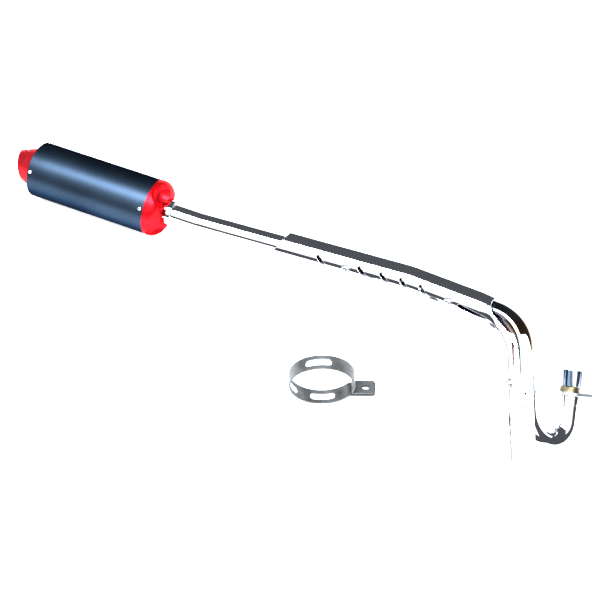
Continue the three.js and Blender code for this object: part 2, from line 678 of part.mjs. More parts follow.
function buildNeckRing() {
  const collar = new THREE.Group();
  collar.applyMatrix4(route.frameAt(0));
  exhaust.add(collar);
  const inner = PIPE_RADIUS + GAP;
  const outer = RING_OD / 2;
  const from = GAP;
  const profile = [
    [inner, from],
    [outer - 1, from],
    [outer, from + 1],
    [outer, from + RING_LENGTH - 1],
    [outer - 1, from + RING_LENGTH],
    [inner, from + RING_LENGTH],
  ];
  piece('neck_ring', turned(profile, 40).rotateZ(-Math.PI / 2), chrome(), collar);
}

function buildRivets() {
  const head = RIVET_HEAD / 2;
  const seat = CAN_RADIUS + GAP;
  const profile = [
    [0, SKIRT_RADIUS - CAP_SKIRT_WALL],
    [RIVET_SHANK / 2, SKIRT_RADIUS - CAP_SKIRT_WALL],
    [RIVET_SHANK / 2, seat],
    [head, seat],
    [head * 0.87, seat + 0.9],
    [head * 0.5, seat + RIVET_HEAD_HEIGHT - 0.3],
    [0, seat + RIVET_HEAD_HEIGHT],
  ].map(([r, y]) => new THREE.Vector2(r, y));
  for (const end of ['inlet', 'outlet']) {
    rivetPlaces(end).forEach((place, i) => {
      const rivet = new THREE.Group();
      rivet.applyMatrix4(place);
      silencer.add(rivet);
      const body = new THREE.LatheGeometry(profile, 12).rotateX(Math.PI / 2);
      piece(`rivet_${end}_${i + 1}`, body, steel(), rivet);
    });
  }
}

// ---------------------------------------------------------------- band clamp
// The ring's axis is +Y and it stands on the floor, its ears to the right.
function buildClamp() {
  const bore = CAN_RADIUS + BAND_PLAY;
  const outer = bore + BAND_WALL;
  const clamp = new THREE.Group();
  clamp.position.set(CLAMP_PLACE.x, CLAMP_PLACE.y, outer - CAP_LIP);
  exhaust.add(clamp);
  const level = -bore * Math.sin(rad(EAR_DROP));
  const upper = level + EAR_GAP / 2;
  const lower = level - EAR_GAP / 2;
  const band = new THREE.Shape();
  const tip = outer + EAR_LENGTH;
  const upperOuter = -Math.asin((upper + BAND_WALL) / -outer);
  const upperInner = -Math.asin(upper / -bore);
  const lowerInner = -Math.asin(lower / -bore);
  const lowerOuter = -Math.asin((lower - BAND_WALL) / -outer);
  band.absarc(0, 0, outer, upperOuter, 2 * Math.PI + lowerOuter, false);
  band.lineTo(tip, lower - BAND_WALL);
  band.lineTo(tip, lower);
  band.absarc(0, 0, bore, 2 * Math.PI + lowerInner, upperInner, true);
  band.lineTo(tip, upper);
  band.lineTo(tip, upper + BAND_WALL);
  band.closePath();
  const blank = new THREE.ExtrudeGeometry(band, { depth: BAND_WIDTH, bevelEnabled: false, curveSegments: 20 });
  blank.rotateX(Math.PI / 2).translate(0, BAND_WIDTH / 2, 0);
  const tools = BAND_SLOTS.map((turn) => {
    const slot = slotTool(BAND_SLOT_LENGTH, BAND_SLOT_WIDTH, bore - 6, outer + 6);
    return slot.rotateX(Math.PI / 2).rotateY(rad(90 - turn));
  });
  const earX = outer + EAR_LENGTH * 0.52;
  tools.push(slotTool(EAR_HOLE + 3, EAR_HOLE, -8, 8).rotateX(Math.PI / 2).translate(earX, 0, level));
  piece('mounting_clamp', cut(blank, ...tools), zinc(), clamp);
}

buildPipes();
buildPortEnd();
buildShield();
buildShieldFixings();
buildSleeve();
buildInletCap();
buildOutletCap();
buildBaffle();
buildInside();
buildNeckRing();
buildRivets();
buildClamp();

// The origin goes to the centre of the bottom of the whole system's box.
exhaust.updateMatrixWorld(true);
const box = new THREE.Box3().setFromObject(exhaust, true);
const centre = box.getCenter(new THREE.Vector3());
exhaust.position.set(-centre.x, -centre.y, -box.min.z);

export default exhaust;
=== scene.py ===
import math

import bmesh
import bpy
import numpy as np
from bpy.props import FloatProperty, FloatVectorProperty, IntProperty, PointerProperty
from mathutils import Matrix, Vector
from mathutils.geometry import delaunay_2d_cdt


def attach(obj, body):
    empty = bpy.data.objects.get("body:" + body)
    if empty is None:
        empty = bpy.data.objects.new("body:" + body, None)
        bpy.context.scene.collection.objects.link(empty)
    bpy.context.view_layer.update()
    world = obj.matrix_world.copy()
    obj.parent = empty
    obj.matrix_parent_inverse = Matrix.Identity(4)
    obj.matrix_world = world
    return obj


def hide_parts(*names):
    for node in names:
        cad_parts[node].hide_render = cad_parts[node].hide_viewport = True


bl_info = {
    "name": "Racing Exhaust",
    "version": (1, 0, 0),
    "blender": (4, 5, 0),
    "location": "View3D > Sidebar > Exhaust",
    "description": "Builds a pit bike racing exhaust: pipes, heat shield, silencer and band clamp",
    "category": "Add Mesh",
}

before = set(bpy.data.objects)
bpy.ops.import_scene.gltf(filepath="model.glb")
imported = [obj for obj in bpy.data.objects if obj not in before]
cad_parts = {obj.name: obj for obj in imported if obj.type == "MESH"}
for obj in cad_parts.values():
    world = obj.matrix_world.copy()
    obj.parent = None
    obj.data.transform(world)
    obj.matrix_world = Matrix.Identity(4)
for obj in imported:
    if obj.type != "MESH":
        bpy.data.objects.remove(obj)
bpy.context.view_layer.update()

MM = 0.001
GAP = 0.3 * MM
SHIFT = np.array((17.272, -15.09, 0.407)) * MM
UP = np.array((0.0, 0.0, 1.0))


def unit(v):
    """The vector or row of vectors at length one."""
    v = np.asarray(v, float)
    return v / np.linalg.norm(v, axis=-1, keepdims=True)


# ---------------------------------------------------------------- the centre line
HEADING = np.array((math.cos(math.radians(-23)), math.sin(math.radians(-23)), 0.0))
CAN_INLET = np.array((-206.5, 166.5, 40.0)) * MM + SHIFT
PIPE_ENTRY = CAN_INLET + HEADING * 24 * MM
KINK = PIPE_ENTRY + HEADING * 47 * MM


def corner(x, y, z):
    """A corner of the centre line, from millimetres on the drawing to the shared frame."""
    return np.array((x, y, z)) * MM + SHIFT


PIPE_CORNERS = [
    (PIPE_ENTRY, 0),
    (KINK, 90),
    (corner(150, 18, 63), 160),
    (corner(284, -58, 78), 56),
    (corner(283, -201, 42), 28),
    (corner(333, -205, -2.5), 28),
    (corner(341.5, -146, 40), 0),
]
SHIELD_CORNERS = PIPE_CORNERS[:3] + [(corner(281, -58, 78), 84), (corner(275, -241, 30), 0)]
PIPE_CROWN = unit((0.1, -0.5, 0.86))
SHIELD_CROWN = unit((-0.95, -0.8, 0.65))


class Route:
    """A centre line of straights and true arcs, read by the distance along it."""

    def __init__(self, corners, crown, pitch=1.5 * MM):
        points, tangents = [], []
        start = corners[0][0]
        for i in range(1, len(corners)):
            here, bend = corners[i][0], corners[i][1] * MM
            into = unit(here - start)
            if i == len(corners) - 1:
                self._straight(points, tangents, start, here, into, pitch)
                break
            out = unit(corners[i + 1][0] - here)
            turn = math.acos(float(np.clip(into @ out, -1, 1)))
            reach = bend * math.tan(turn / 2)
            arc_start = here - into * reach
            self._straight(points, tangents, start, arc_start, into, pitch)
            centre = here + unit(out - into) * bend / math.cos(turn / 2)
            side = unit(arc_start - centre)
            for angle in np.linspace(0, turn, max(8, int(bend * turn / pitch)))[1:]:
                points.append(centre + bend * (side * math.cos(angle) + into * math.sin(angle)))
                tangents.append(into * math.cos(angle) - side * math.sin(angle))
            start = here + out * reach
        self.points = np.array(points)
        self.tangents = unit(tangents)
        steps = np.linalg.norm(np.diff(self.points, axis=0), axis=1)
        self.stations = np.concatenate([[0.0], np.cumsum(steps)])
        self.length = float(self.stations[-1])
        self.crown = crown

    @staticmethod
    def _straight(points, tangents, start, end, direction, pitch):
        count = max(2, int(np.linalg.norm(end - start) / pitch))
        first = 1 if points else 0
        for share in np.linspace(0, 1, count)[first:]:
            points.append(start + (end - start) * share)
            tangents.append(direction)

    def at(self, s):
        """Points, tangents, crown directions and side directions at distances s."""
        s = np.atleast_1d(np.asarray(s, float))
        mix = lambda table: np.stack([np.interp(s, self.stations, table[:, k]) for k in range(3)], axis=1)
        point, tangent = mix(self.points), unit(mix(self.tangents))
        out = unit(self.crown - tangent * (tangent @ self.crown)[:, None])
        return point, tangent, out, np.cross(tangent, out)

    def surface(self, s, around, radius):
        """Points at a radius from the centre line, turned from its crown by angles in radians."""
        point, _, out, side = self.at(s)
        around = np.atleast_1d(around)[:, None]
        return point + radius * (out * np.cos(around) + side * np.sin(around))

    def frame(self, s, around=0.0):
        """A 4x4 matrix at a distance: X along the route and Y outwards at an angle from the crown."""
        point, tangent, out, side = (row[0] for row in self.at(s))
        outward = out * math.cos(around) + side * math.sin(around)
        return matrix(tangent, outward, np.cross(tangent, outward), point)

    def stretch(self, start, end):
        inside = self.stations[(self.stations > start + 0.5 * MM) & (self.stations < end - 0.5 * MM)]
        return self.at(np.concatenate([[start], inside, [end]]))[0]


def matrix(x, y, z, origin):
    """A 4x4 matrix with the given axes and origin."""
    m = Matrix.Identity(4)
    for column, vector in enumerate((x, y, z, origin)):
        for row in range(3):
            m[row][column] = float(vector[row])
    return m


ROUTE = Route(PIPE_CORNERS, PIPE_CROWN)
SHIELD_ROUTE = Route(SHIELD_CORNERS, SHIELD_CROWN)
SHIELD_START = 159 * MM
PIPE_JOINT = 179 * MM

# Silencer frame: X up, Y from the inlet end to the outlet end, Z towards the front.
CAN_BACK = -HEADING
CAN_FRONT = np.cross(UP, CAN_BACK)
CAN_FRAME = matrix(UP, CAN_BACK, CAN_FRONT, CAN_INLET)
CLAMP_CENTRE = np.array((45.272, -139.09, 42.507)) * MM

# Sizes of the silencer's ends, with distances along the silencer frame's Y.
CAP_SKIRT = 13 * MM
CORE_SOCKET = 17.3 * MM
INLET_CAP_LENGTH = 21 * MM
INLET_CAP_NOSE = 20 * MM
SCOOP_RADIUS, SCOOP_REACH, SCOOP_CENTRE = 20 * MM, 19 * MM, 35 * MM
SCOOP_TURN = 90
OUTLET_CAP_LENGTH = 35 * MM
OUTLET_BASE, OUTLET_TIP = 32 * MM, 19 * MM
OUTLET_SLASH, SLASH_TURN = math.radians(18), math.radians(-34)
RIVET_INSET, RIVET_TURN = 4.5 * MM, 42
BAFFLE_LENGTH = 62 * MM
BAFFLE_SCREW_PLACE, BAFFLE_SCREW_SEAT = 21 * MM, 19.4 * MM
BAFFLE_SCREW_TURN = math.radians(116)

# The thicker sleeve at the end of the header pipe.
HEAD_LENGTH = 12 * MM
HEAD_START = ROUTE.length - HEAD_LENGTH


# ---------------------------------------------------------------- mesh helpers
def new_object(name, mesh):
    """A mesh as an object of the scene, at the origin."""
    mesh.name = name
    obj = bpy.data.objects.new(name, mesh)
    bpy.context.scene.collection.objects.link(obj)
    return obj


def mesh_of(points, faces, placing=None):
    """A mesh of points and faces, put in its place in the shared frame."""
    mesh = bpy.data.meshes.new("shape")
    mesh.from_pydata([tuple(map(float, p)) for p in points], [], [tuple(map(int, f)) for f in faces])
    if placing is not None:
        mesh.transform(placing)
    return mesh


def tidy_shell(mesh, sharp=32):
    """Closes seams, turns the faces outwards and shades them smooth up to an angle."""
    shell = bmesh.new()
    shell.from_mesh(mesh)
    bmesh.ops.remove_doubles(shell, verts=shell.verts, dist=2e-6)
    bmesh.ops.dissolve_degenerate(shell, edges=shell.edges, dist=1e-6)
    bmesh.ops.recalc_face_normals(shell, faces=shell.faces)
    if shell.calc_volume(signed=True) < 0:
        bmesh.ops.reverse_faces(shell, faces=shell.faces)
    shell.to_mesh(mesh)
    shell.free()
    mesh.shade_smooth()
    mesh.set_sharp_from_angle(angle=math.radians(sharp))
    return mesh


def rounded(profile, radius, steps=3):
    """A closed profile with each corner rounded by up to a radius."""
    count, out = len(profile), []
    for i, here in enumerate(profile):
        here = np.asarray(here, float)
        back = np.asarray(profile[i - 1], float) - here
        ahead = np.asarray(profile[(i + 1) % count], float) - here
        reach_back, reach_ahead = np.linalg.norm(back), np.linalg.norm(ahead)
        cosine = float(np.clip(back @ ahead / (reach_back * reach_ahead), -1, 1))
        if cosine < math.cos(math.radians(150)) or here[0] < 1e-7:
            out.append(tuple(here))
            continue
        half = math.acos(cosine) / 2
        cut = min(radius / math.tan(half), reach_back * 0.45, reach_ahead * 0.45)
        a, b = here + back / reach_back * cut, here + ahead / reach_ahead * cut
        for share in np.linspace(0, 1, steps + 1):
            curve = a * (1 - share) ** 2 + here * 2 * share * (1 - share) + b * share**2
            out.append(tuple(curve))
    return out


def lathe(profile, placing, segments=96, sharp=32):
    """A closed solid turned about +Y from a closed profile of (radius, height) corners."""
    rows = len(profile)
    points, faces = [], []
    for k in range(segments):
        angle = 2 * math.pi * k / segments
        for r, y in profile:
            points.append((r * math.sin(angle), y, r * math.cos(angle)))
    for k in range(segments):
        this, after = k * rows, (k + 1) % segments * rows
        for i in range(rows):
            j = (i + 1) % rows
            faces.append((this + i, this + j, after + j, after + i))
    return tidy_shell(mesh_of(points, faces, placing), sharp)


def tube_profile(inner, outer, start, end, edge=0.25 * MM, steps=3):
    """The closed profile of a tube with rounded edges."""
    return rounded([(inner, start), (outer, start), (outer, end), (inner, end)], edge, steps)


def evaluated(obj, name, sharp=None):
    """The object's finished shape as a plain mesh object; the original is removed."""
    graph = bpy.context.evaluated_depsgraph_get()
    mesh = bpy.data.meshes.new_from_object(obj.evaluated_get(graph))
    bpy.data.objects.remove(obj)
    if sharp is not None:
        tidy_shell(mesh, sharp)
    return new_object(name, mesh)


def carve(mesh, tools, name, sharp=32):
    """A mesh with tool meshes cut away, as a new object."""
    blank = new_object(name + "_blank", mesh)
    helpers = []
    for number, tool in enumerate(tools):
        helper = new_object(f"{name}_tool_{number}", tool)
        step = blank.modifiers.new("cut", "BOOLEAN")
        step.operation, step.solver, step.object = "DIFFERENCE", "EXACT", helper
        helpers.append(helper)
    result = evaluated(blank, name, sharp)
    for helper in helpers:
        bpy.data.objects.remove(helper)
    return result


def stadium(length, width, turn=0.0, steps=10, centre=(0.0, 0.0)):
    """The outline of a round-ended slot, anticlockwise, with its long axis turned."""
    half, r = (length - width) / 2, width / 2
    right = [(half + r * math.cos(a), r * math.sin(a)) for a in np.linspace(-math.pi / 2, math.pi / 2, steps)]
    left = [(-half + r * math.cos(a), r * math.sin(a)) for a in np.linspace(math.pi / 2, 1.5 * math.pi, steps)]
    loop = right + left
    if half > r:
        between = max(2, int(half / r) * 2)
        top = [(x, r) for x in np.linspace(half, -half, between + 2)[1:-1]]
        bottom = [(x, -r) for x in np.linspace(-half, half, between + 2)[1:-1]]
        loop = right + top + left + bottom
    loop = np.array(loop)
    keep = np.linalg.norm(loop - np.roll(loop, 1, axis=0), axis=1) > 1e-7
    loop = loop[keep]
    c, s = math.cos(turn), math.sin(turn)
    return loop @ np.array(((c, s), (-s, c))) + np.asarray(centre)


def steps_between(last, first, pitch):
    """Points on the straight between two corners, both left out."""
    last, first = np.array(last), np.array(first)
    count = int(np.linalg.norm(first - last) / pitch)
    return [tuple(last + (first - last) * k / count) for k in range(1, count)]


def inside(points, loop):
    """Which points lie inside a closed loop."""
    x, y = points[:, 0][:, None], points[:, 1][:, None]
    ax, ay = loop[:, 0][None], loop[:, 1][None]
    bx, by = np.roll(loop[:, 0], -1)[None], np.roll(loop[:, 1], -1)[None]
    crosses = (ay > y) != (by > y)
    with np.errstate(divide="ignore", invalid="ignore"):
        left = x < (bx - ax) * (y - ay) / (by - ay) + ax
    return (np.sum(crosses & left, axis=1) % 2) == 1


def moved_in(loop, distance):
    """A loop with each corner moved to the left of its direction of travel."""
    ahead, back = unit(np.roll(loop, -1, axis=0) - loop), unit(loop - np.roll(loop, 1, axis=0))
    tangent = unit(ahead + back)
    return loop + np.stack([-tangent[:, 1], tangent[:, 0]], axis=1) * distance


def pressed_sheet(name, outline, holes, place, wall, pitch, edge):
    """A sheet of metal with rounded edges, cut by an outline and holes and laid on a surface.

    place(u, v, depth) gives points on the surface at a depth below its face."""
    sides = [(np.asarray(outline), 1.0)] + [(np.asarray(h), -1.0) for h in holes]
    rims = [moved_in(loop, sign * edge) for loop, sign in sides]
    lo, hi = rims[0].min(axis=0), rims[0].max(axis=0)
    across, along = np.meshgrid(np.arange(lo[0], hi[0], pitch), np.arange(lo[1], hi[1], pitch))
    across[1::2] += pitch / 2
    grid = np.stack([across.ravel(), along.ravel()], axis=1)
    keep = inside(grid, moved_in(rims[0], pitch * 0.45))
    for (loop, sign), rim in zip(sides[1:], rims[1:]):
        keep &= ~inside(grid, moved_in(rim, sign * pitch * 0.45))
    flat = np.concatenate(rims + [grid[keep]])
    edges, start = [], 0
    for rim in rims:
        count = len(rim)
        edges += [(start + i, start + (i + 1) % count) for i in range(count)]
        start += count
    made = delaunay_2d_cdt([Vector(map(float, p)) for p in flat], edges, [], 0, 1e-9)
    spots = np.array([tuple(p) for p in made[0]])
    triangles = np.array([f for f in made[2] if len(f) == 3])
    middles = spots[triangles].mean(axis=1)
    good = inside(middles, rims[0])
    for rim in rims[1:]:
        good &= ~inside(middles, rim)
    triangles = triangles[good]
    renamed = {}
    for new, olds in enumerate(made[3]):
        for old in olds:
            renamed[old] = new
    a, b, c = (spots[triangles[:, k]] for k in range(3))
    turned = (b[:, 0] - a[:, 0]) * (c[:, 1] - a[:, 1]) - (b[:, 1] - a[:, 1]) * (c[:, 0] - a[:, 0]) < 0
    triangles[turned] = triangles[turned][:, ::-1]

    def face_normals(uv):
        """Outward directions of the face, and its two tangents, at flat places."""
        step = 0.2 * MM
        u, v = uv[:, 0], uv[:, 1]
        along_u = place(u + step, v, 0.0) - place(u - step, v, 0.0)
        along_v = place(u, v + step, 0.0) - place(u, v - step, 0.0)
        normal = unit(np.cross(along_u, along_v))
        if np.mean(np.sum(normal * (place(u, v, 0.0) - place(u, v, wall)), axis=1)) < 0:
            normal = -normal
        return normal, unit(along_u), unit(along_v)

    count = len(spots)
    normal = face_normals(spots)[0]
    points = [place(spots[:, 0], spots[:, 1], 0.0), place(spots[:, 0], spots[:, 1], wall)]
    normals = [normal, -normal]
    out_way = np.cross(points[0][triangles[0][1]] - points[0][triangles[0][0]],
                       points[0][triangles[0][2]] - points[0][triangles[0][0]]) @ normal[triangles[0][0]]
    top = triangles if out_way > 0 else triangles[:, ::-1]
    faces = [tuple(t) for t in top] + [tuple(t[::-1] + count) for t in top]
    steps = (30, 60, 90)
    levels = [(math.radians(a), edge * (1 - math.sin(math.radians(a))), edge * (1 - math.cos(math.radians(a))))
              for a in steps]
    levels += [(math.pi - a, off, wall - deep) for a, off, deep in reversed(levels)]
    base = 2 * count
    first = 0
    for (loop, sign), rim in zip(sides, rims):
        size = len(rim)
        outer_ring = [renamed[first + i] for i in range(size)]
        rings = [outer_ring]
        tangent = unit(np.roll(rim, -1, axis=0) - np.roll(rim, 1, axis=0))
        away = np.stack([tangent[:, 1], -tangent[:, 0]], axis=1) * sign
        for angle, offset, depth in levels:
            uv = moved_in(loop, sign * offset)
            face, along_u, along_v = face_normals(uv)
            outward = unit(along_u * away[:, :1] + along_v * away[:, 1:])
            points.append(place(uv[:, 0], uv[:, 1], depth))
            normals.append(unit(face * math.cos(angle) + outward * math.sin(angle)))
            rings.append(list(range(base, base + size)))
            base += size
        rings.append([i + count for i in outer_ring])
        for upper, lower in zip(rings, rings[1:]):
            for i in range(size):
                j = (i + 1) % size
                quad = (upper[i], lower[i], lower[j], upper[j])
                faces.append(quad if (sign > 0) == (out_way > 0) else quad[::-1])
        first += size
    points, normals = np.concatenate(points), np.concatenate(normals)
    mesh = mesh_of(points, faces)
    mesh.shade_smooth()
    mesh.normals_split_custom_set_from_vertices([tuple(n) for n in normals])
    return new_object(name, mesh)


# ---------------------------------------------------------------- geometry node trees
class Tree:
    """A geometry node tree with named inputs, grown one node at a time."""

    def __init__(self, name, inputs):
        self.group = bpy.data.node_groups.new(name, "GeometryNodeTree")
        sockets = self.group.interface
        sockets.new_socket("Geometry", in_out="INPUT", socket_type="NodeSocketGeometry")
        self.names = {}
        for label, kind, value in inputs:
            socket = sockets.new_socket(label, in_out="INPUT", socket_type=kind)
            if hasattr(socket, "default_value") and value is not None and kind != "NodeSocketMaterial":
                socket.default_value = value
            self.names[label] = (socket.identifier, value)
        sockets.new_socket("Geometry", in_out="OUTPUT", socket_type="NodeSocketGeometry")
        self.start = self.group.nodes.new("NodeGroupInput")
        self.end = self.group.nodes.new("NodeGroupOutput")

    def given(self, label):
        return self.start.outputs[label]

    def node(self, kind, settings=None, **values):
        made = self.group.nodes.new(kind)
        for key, value in (settings or {}).items():
            setattr(made, key, value)
        for key, value in values.items():
            self.fill(made.inputs[key.replace("_", " ")], value)
        return made

    def fill(self, socket, value):
        if isinstance(value, bpy.types.NodeSocket):
            self.group.links.new(value, socket)
        else:
            socket.default_value = value

    def maths(self, operation, a, b=0.0):
        made = self.group.nodes.new("ShaderNodeMath")
        made.operation = operation
        self.fill(made.inputs[0], a)
        self.fill(made.inputs[1], b)
        return made.outputs[0]

    def finish(self, geometry):
        """Realises the result and gives it the material input."""
        real = self.node("GeometryNodeRealizeInstances", Geometry=geometry).outputs[0]
        finished = self.node("GeometryNodeSetMaterial", Geometry=real, Material=self.given("Finish"))
        self.group.links.new(finished.outputs[0], self.end.inputs[0])

    def grow(self, obj, name, sharp, extra=()):
        """Runs the tree on an object, with any further modifiers, and keeps the plain mesh."""
        step = obj.modifiers.new("shape", "NODES")
        step.node_group = self.group
        for identifier, value in self.names.values():
            step[identifier] = value
        for kind, settings in extra:
            following = obj.modifiers.new(kind.lower(), kind)
            for key, value in settings.items():
                setattr(following, key, value)
        return evaluated(obj, name, sharp)


def swept_tube(name, points, radius, wall, finish, sides=96):
    """A tube swept along a line of points by a node tree, with a wall of even thickness."""
    curve = bpy.data.curves.new(name + "_line", "CURVE")
    curve.dimensions = "3D"
    spline = curve.splines.new("POLY")
    spline.points.add(len(points) - 1)
    for target, point in zip(spline.points, points):
        target.co = (*map(float, point), 1.0)
    line = bpy.data.objects.new(name + "_line", curve)
    bpy.context.scene.collection.objects.link(line)
    tree = Tree(name + "_sweep", [
        ("Radius", "NodeSocketFloat", radius),
        ("Sides", "NodeSocketInt", sides),
        ("Finish", "NodeSocketMaterial", finish),
    ])
    section = tree.node("GeometryNodeCurvePrimitiveCircle", Resolution=tree.given("Sides"), Radius=tree.given("Radius"))
    sweep = tree.node("GeometryNodeCurveToMesh", Curve=tree.given("Geometry"), Profile_Curve=section.outputs[0])
    tree.finish(sweep.outputs[0])
    shell = tree.grow(line, name + "_shell", 30)
    step = shell.modifiers.new("wall", "SOLIDIFY")
    step.thickness, step.offset, step.use_even_offset = wall, -1.0, True
    return evaluated(shell, name, 40)


def row_of(name, fitting, places, size, finish, sharp=32):
    """Copies of a fitting at a list of placing matrices, made by a node tree, as one object."""
    mesh = bpy.data.meshes.new(name + "_places")
    mesh.from_pydata([tuple(place.translation) for place in places], [], [])
    turns = mesh.attributes.new("turn", "FLOAT_VECTOR", "POINT")
    for item, place in zip(turns.data, places):
        item.vector = place.to_euler("XYZ")
    spots = new_object(name + "_places", mesh)
    source = new_object(name + "_one", fitting)
    tree = Tree(name + "_row", [
        ("Fitting", "NodeSocketObject", source),
        ("Size", "NodeSocketFloat", size),
        ("Finish", "NodeSocketMaterial", finish),
    ])
    shape = tree.node("GeometryNodeObjectInfo", Object=tree.given("Fitting"))
    turn = tree.node("GeometryNodeInputNamedAttribute", {"data_type": "FLOAT_VECTOR"}, Name="turn")
    rotation = tree.node("FunctionNodeEulerToRotation", Euler=turn.outputs[0])
    copies = tree.node(
        "GeometryNodeInstanceOnPoints",
        Points=tree.given("Geometry"),
        Instance=shape.outputs["Geometry"],
        Rotation=rotation.outputs[0],
        Scale=tree.node("ShaderNodeCombineXYZ", **{axis: tree.given("Size") for axis in "XYZ"}).outputs[0],
    )
    tree.finish(copies.outputs[0])
    made = tree.grow(spots, name, sharp)
    bpy.data.objects.remove(source)
    return made


# ---------------------------------------------------------------- materials
class Value:
    """A number in a material, so that sums on it add the Math nodes."""

    def __init__(self, paint, socket):
        self.paint, self.socket = paint, socket

    def _join(self, operation, a, b):
        return self.paint.node("ShaderNodeMath", {"operation": operation}, [a, b])

    def __add__(self, other):
        return self._join("ADD", self, other)

    def __sub__(self, other):
        return self._join("SUBTRACT", self, other)

    def __rsub__(self, other):
        return self._join("SUBTRACT", other, self)

    def __mul__(self, other):
        return self._join("MULTIPLY", self, other)

    def __truediv__(self, other):
        return self._join("DIVIDE", self, other)

    def __pow__(self, other):
        return self._join("POWER", self, other)

    __radd__, __rmul__ = __add__, __mul__

    def between(self, low, high):
        """Nought below low, one above high, and smooth in between."""
        return self.paint.node(
            "ShaderNodeMapRange",
            {"interpolation_type": "SMOOTHSTEP"},
            {"Value": self, "From Min": low, "From Max": high},
        )

    def sine(self):
        return self._join("SINE", self, 0.0)


class Paint:
    """A material built node by node round one Principled shader."""

    def __init__(self, name, **fixed):
        self.material = bpy.data.materials.new(name)
        self.material.use_nodes = True
        self.tree = self.material.node_tree
        self.shader = self.tree.nodes["Principled BSDF"]
        for label, value in fixed.items():
            self.set(label.replace("_", " "), value)
        self.place = self.node("ShaderNodeTexCoord", {}, {}, "Object")

    def set(self, label, value):
        self._fill(self.shader.inputs[label], value)

    def _fill(self, socket, value):
        if isinstance(value, Value):
            self.tree.links.new(value.socket, socket)
        elif isinstance(value, (tuple, list)) and socket.type == "RGBA" and len(value) == 3:
            socket.default_value = (*value, 1.0)
        else:
            socket.default_value = value

    def node(self, kind, settings, values, output=0):
        made = self.tree.nodes.new(kind)
        stops = None
        for key, value in settings.items():
            if key == "stops":
                stops = value
            else:
                setattr(made, key, value)
        if stops:
            ramp = made.color_ramp
            while len(ramp.elements) < len(stops):
                ramp.elements.new(0.5)
            for element, (position, colour) in zip(ramp.elements, stops):
                element.position, element.color = position, (*colour, 1.0)
        pairs = values.items() if isinstance(values, dict) else enumerate(values)
        for key, value in pairs:
            self._fill(made.inputs[key], value)
        return Value(self, made.outputs[output])

    def noise(self, scale, detail=3.0, roughness=0.5, place=None, stretch=None):
        where = place or self.place
        if stretch:
            where = self.node("ShaderNodeMapping", {}, {"Vector": where, "Scale": stretch})
        return self.node(
            "ShaderNodeTexNoise", {}, {"Vector": where, "Scale": scale, "Detail": detail, "Roughness": roughness}, "Fac"
        )

    def mix(self, share, a, b, blend="MIX"):
        made = self.tree.nodes.new("ShaderNodeMix")
        made.data_type, made.blend_type = "RGBA", blend
        colour_inputs = [s for s in made.inputs if s.type == "RGBA"]
        self._fill(made.inputs[0], share)
        self._fill(colour_inputs[0], a)
        self._fill(colour_inputs[1], b)
        return Value(self, next(s for s in made.outputs if s.type == "RGBA"))

    def ramp(self, value, stops):
        return self.node("ShaderNodeValToRGB", {"stops": stops}, {"Fac": value})

    def part(self, vector, axis):
        return self.node("ShaderNodeSeparateXYZ", {}, {"Vector": vector}, axis)

    def along(self, direction, origin):
        """The distance along a fixed direction from an origin, in metres."""
        dot = self.node(
            "ShaderNodeVectorMath",
            {"operation": "DOT_PRODUCT"},
            [self.place, tuple(map(float, direction))],
            "Value",
        )
        return dot - float(np.dot(direction, origin))

    def distance(self, centre):
        return self.node(
            "ShaderNodeVectorMath", {"operation": "DISTANCE"}, [self.place, tuple(map(float, centre))], "Value"
        )

    def relief(self, height, strength, depth):
        bump = self.node("ShaderNodeBump", {}, {"Height": height, "Strength": strength, "Distance": depth}, "Normal")
        self.set("Normal", bump)
        return bump


def chrome_finish(name, colour, heat=()):
    """Bright plating with faint polishing marks, and tints near given places: heat tints, and a painted dark reflection
    where a tint stands in for shade.
    """
    paint = Paint(name, Metallic=1.0)
    cloud = paint.noise(28.0, 4.0)
    marks = paint.noise(900.0, 2.0, stretch=(1.0, 1.0, 0.08))
    dust = paint.noise(240.0, 5.0, 0.7).between(0.62, 0.8)
    tone = paint.mix(cloud.between(0.35, 0.7), tuple(c * 0.93 for c in colour), colour)
    # Each place mixes in a tint. The leg and head tints are heat colour; the elbow tint is a painted dark reflection
    # that darkens the chrome there.
    for centre, reach, tint, share in heat:
        veil = 1.0 - paint.distance(centre).between(reach * 0.25, reach)
        tone = paint.mix(veil * share * (cloud * 0.5 + 0.75), tone, tint)
    paint.set("Base Color", tone)
    paint.set("Roughness", 0.035 + marks * 0.03 + cloud * 0.02 + dust * 0.06)
    paint.relief(cloud * 0.6 + marks * 0.05, 0.05, 0.0006)
    return paint.material


def brushed_finish(name, colour, rough, grain=420.0, stretch=(1.0, 1.0, 0.06)):
    """Plain steel with a drawn grain and darker patches."""
    paint = Paint(name, Metallic=1.0)
    grain_lines = paint.noise(grain, 3.0, 0.6, stretch=stretch)
    patches = paint.noise(60.0, 4.0, 0.6)
    tone = paint.mix(patches.between(0.4, 0.72), colour, tuple(c * 0.72 for c in colour))
    paint.set("Base Color", paint.mix(grain_lines * 0.35, tone, tuple(min(1.0, c * 1.25) for c in colour)))
    paint.set("Roughness", rough + grain_lines * 0.12 + patches * 0.08)
    paint.relief(grain_lines, 0.12, 0.0004)
    return paint.material


def weld_finish():
    """A weld bead: overlapping ripples in straw and brownish grey heat colours."""
    paint = Paint("weld_bead", Metallic=1.0)
    ripple = (paint.noise(18.0, 1.0) * 9.0 + paint.part(paint.place, "Z") * 2600.0).sine() * 0.5 + 0.5
    paint.set("Base Color", paint.mix(ripple, (0.30, 0.26, 0.24), (0.62, 0.55, 0.46)))
    paint.set("Roughness", 0.28 + ripple * 0.18)
    paint.relief(ripple, 0.5, 0.0004)
    return paint.material


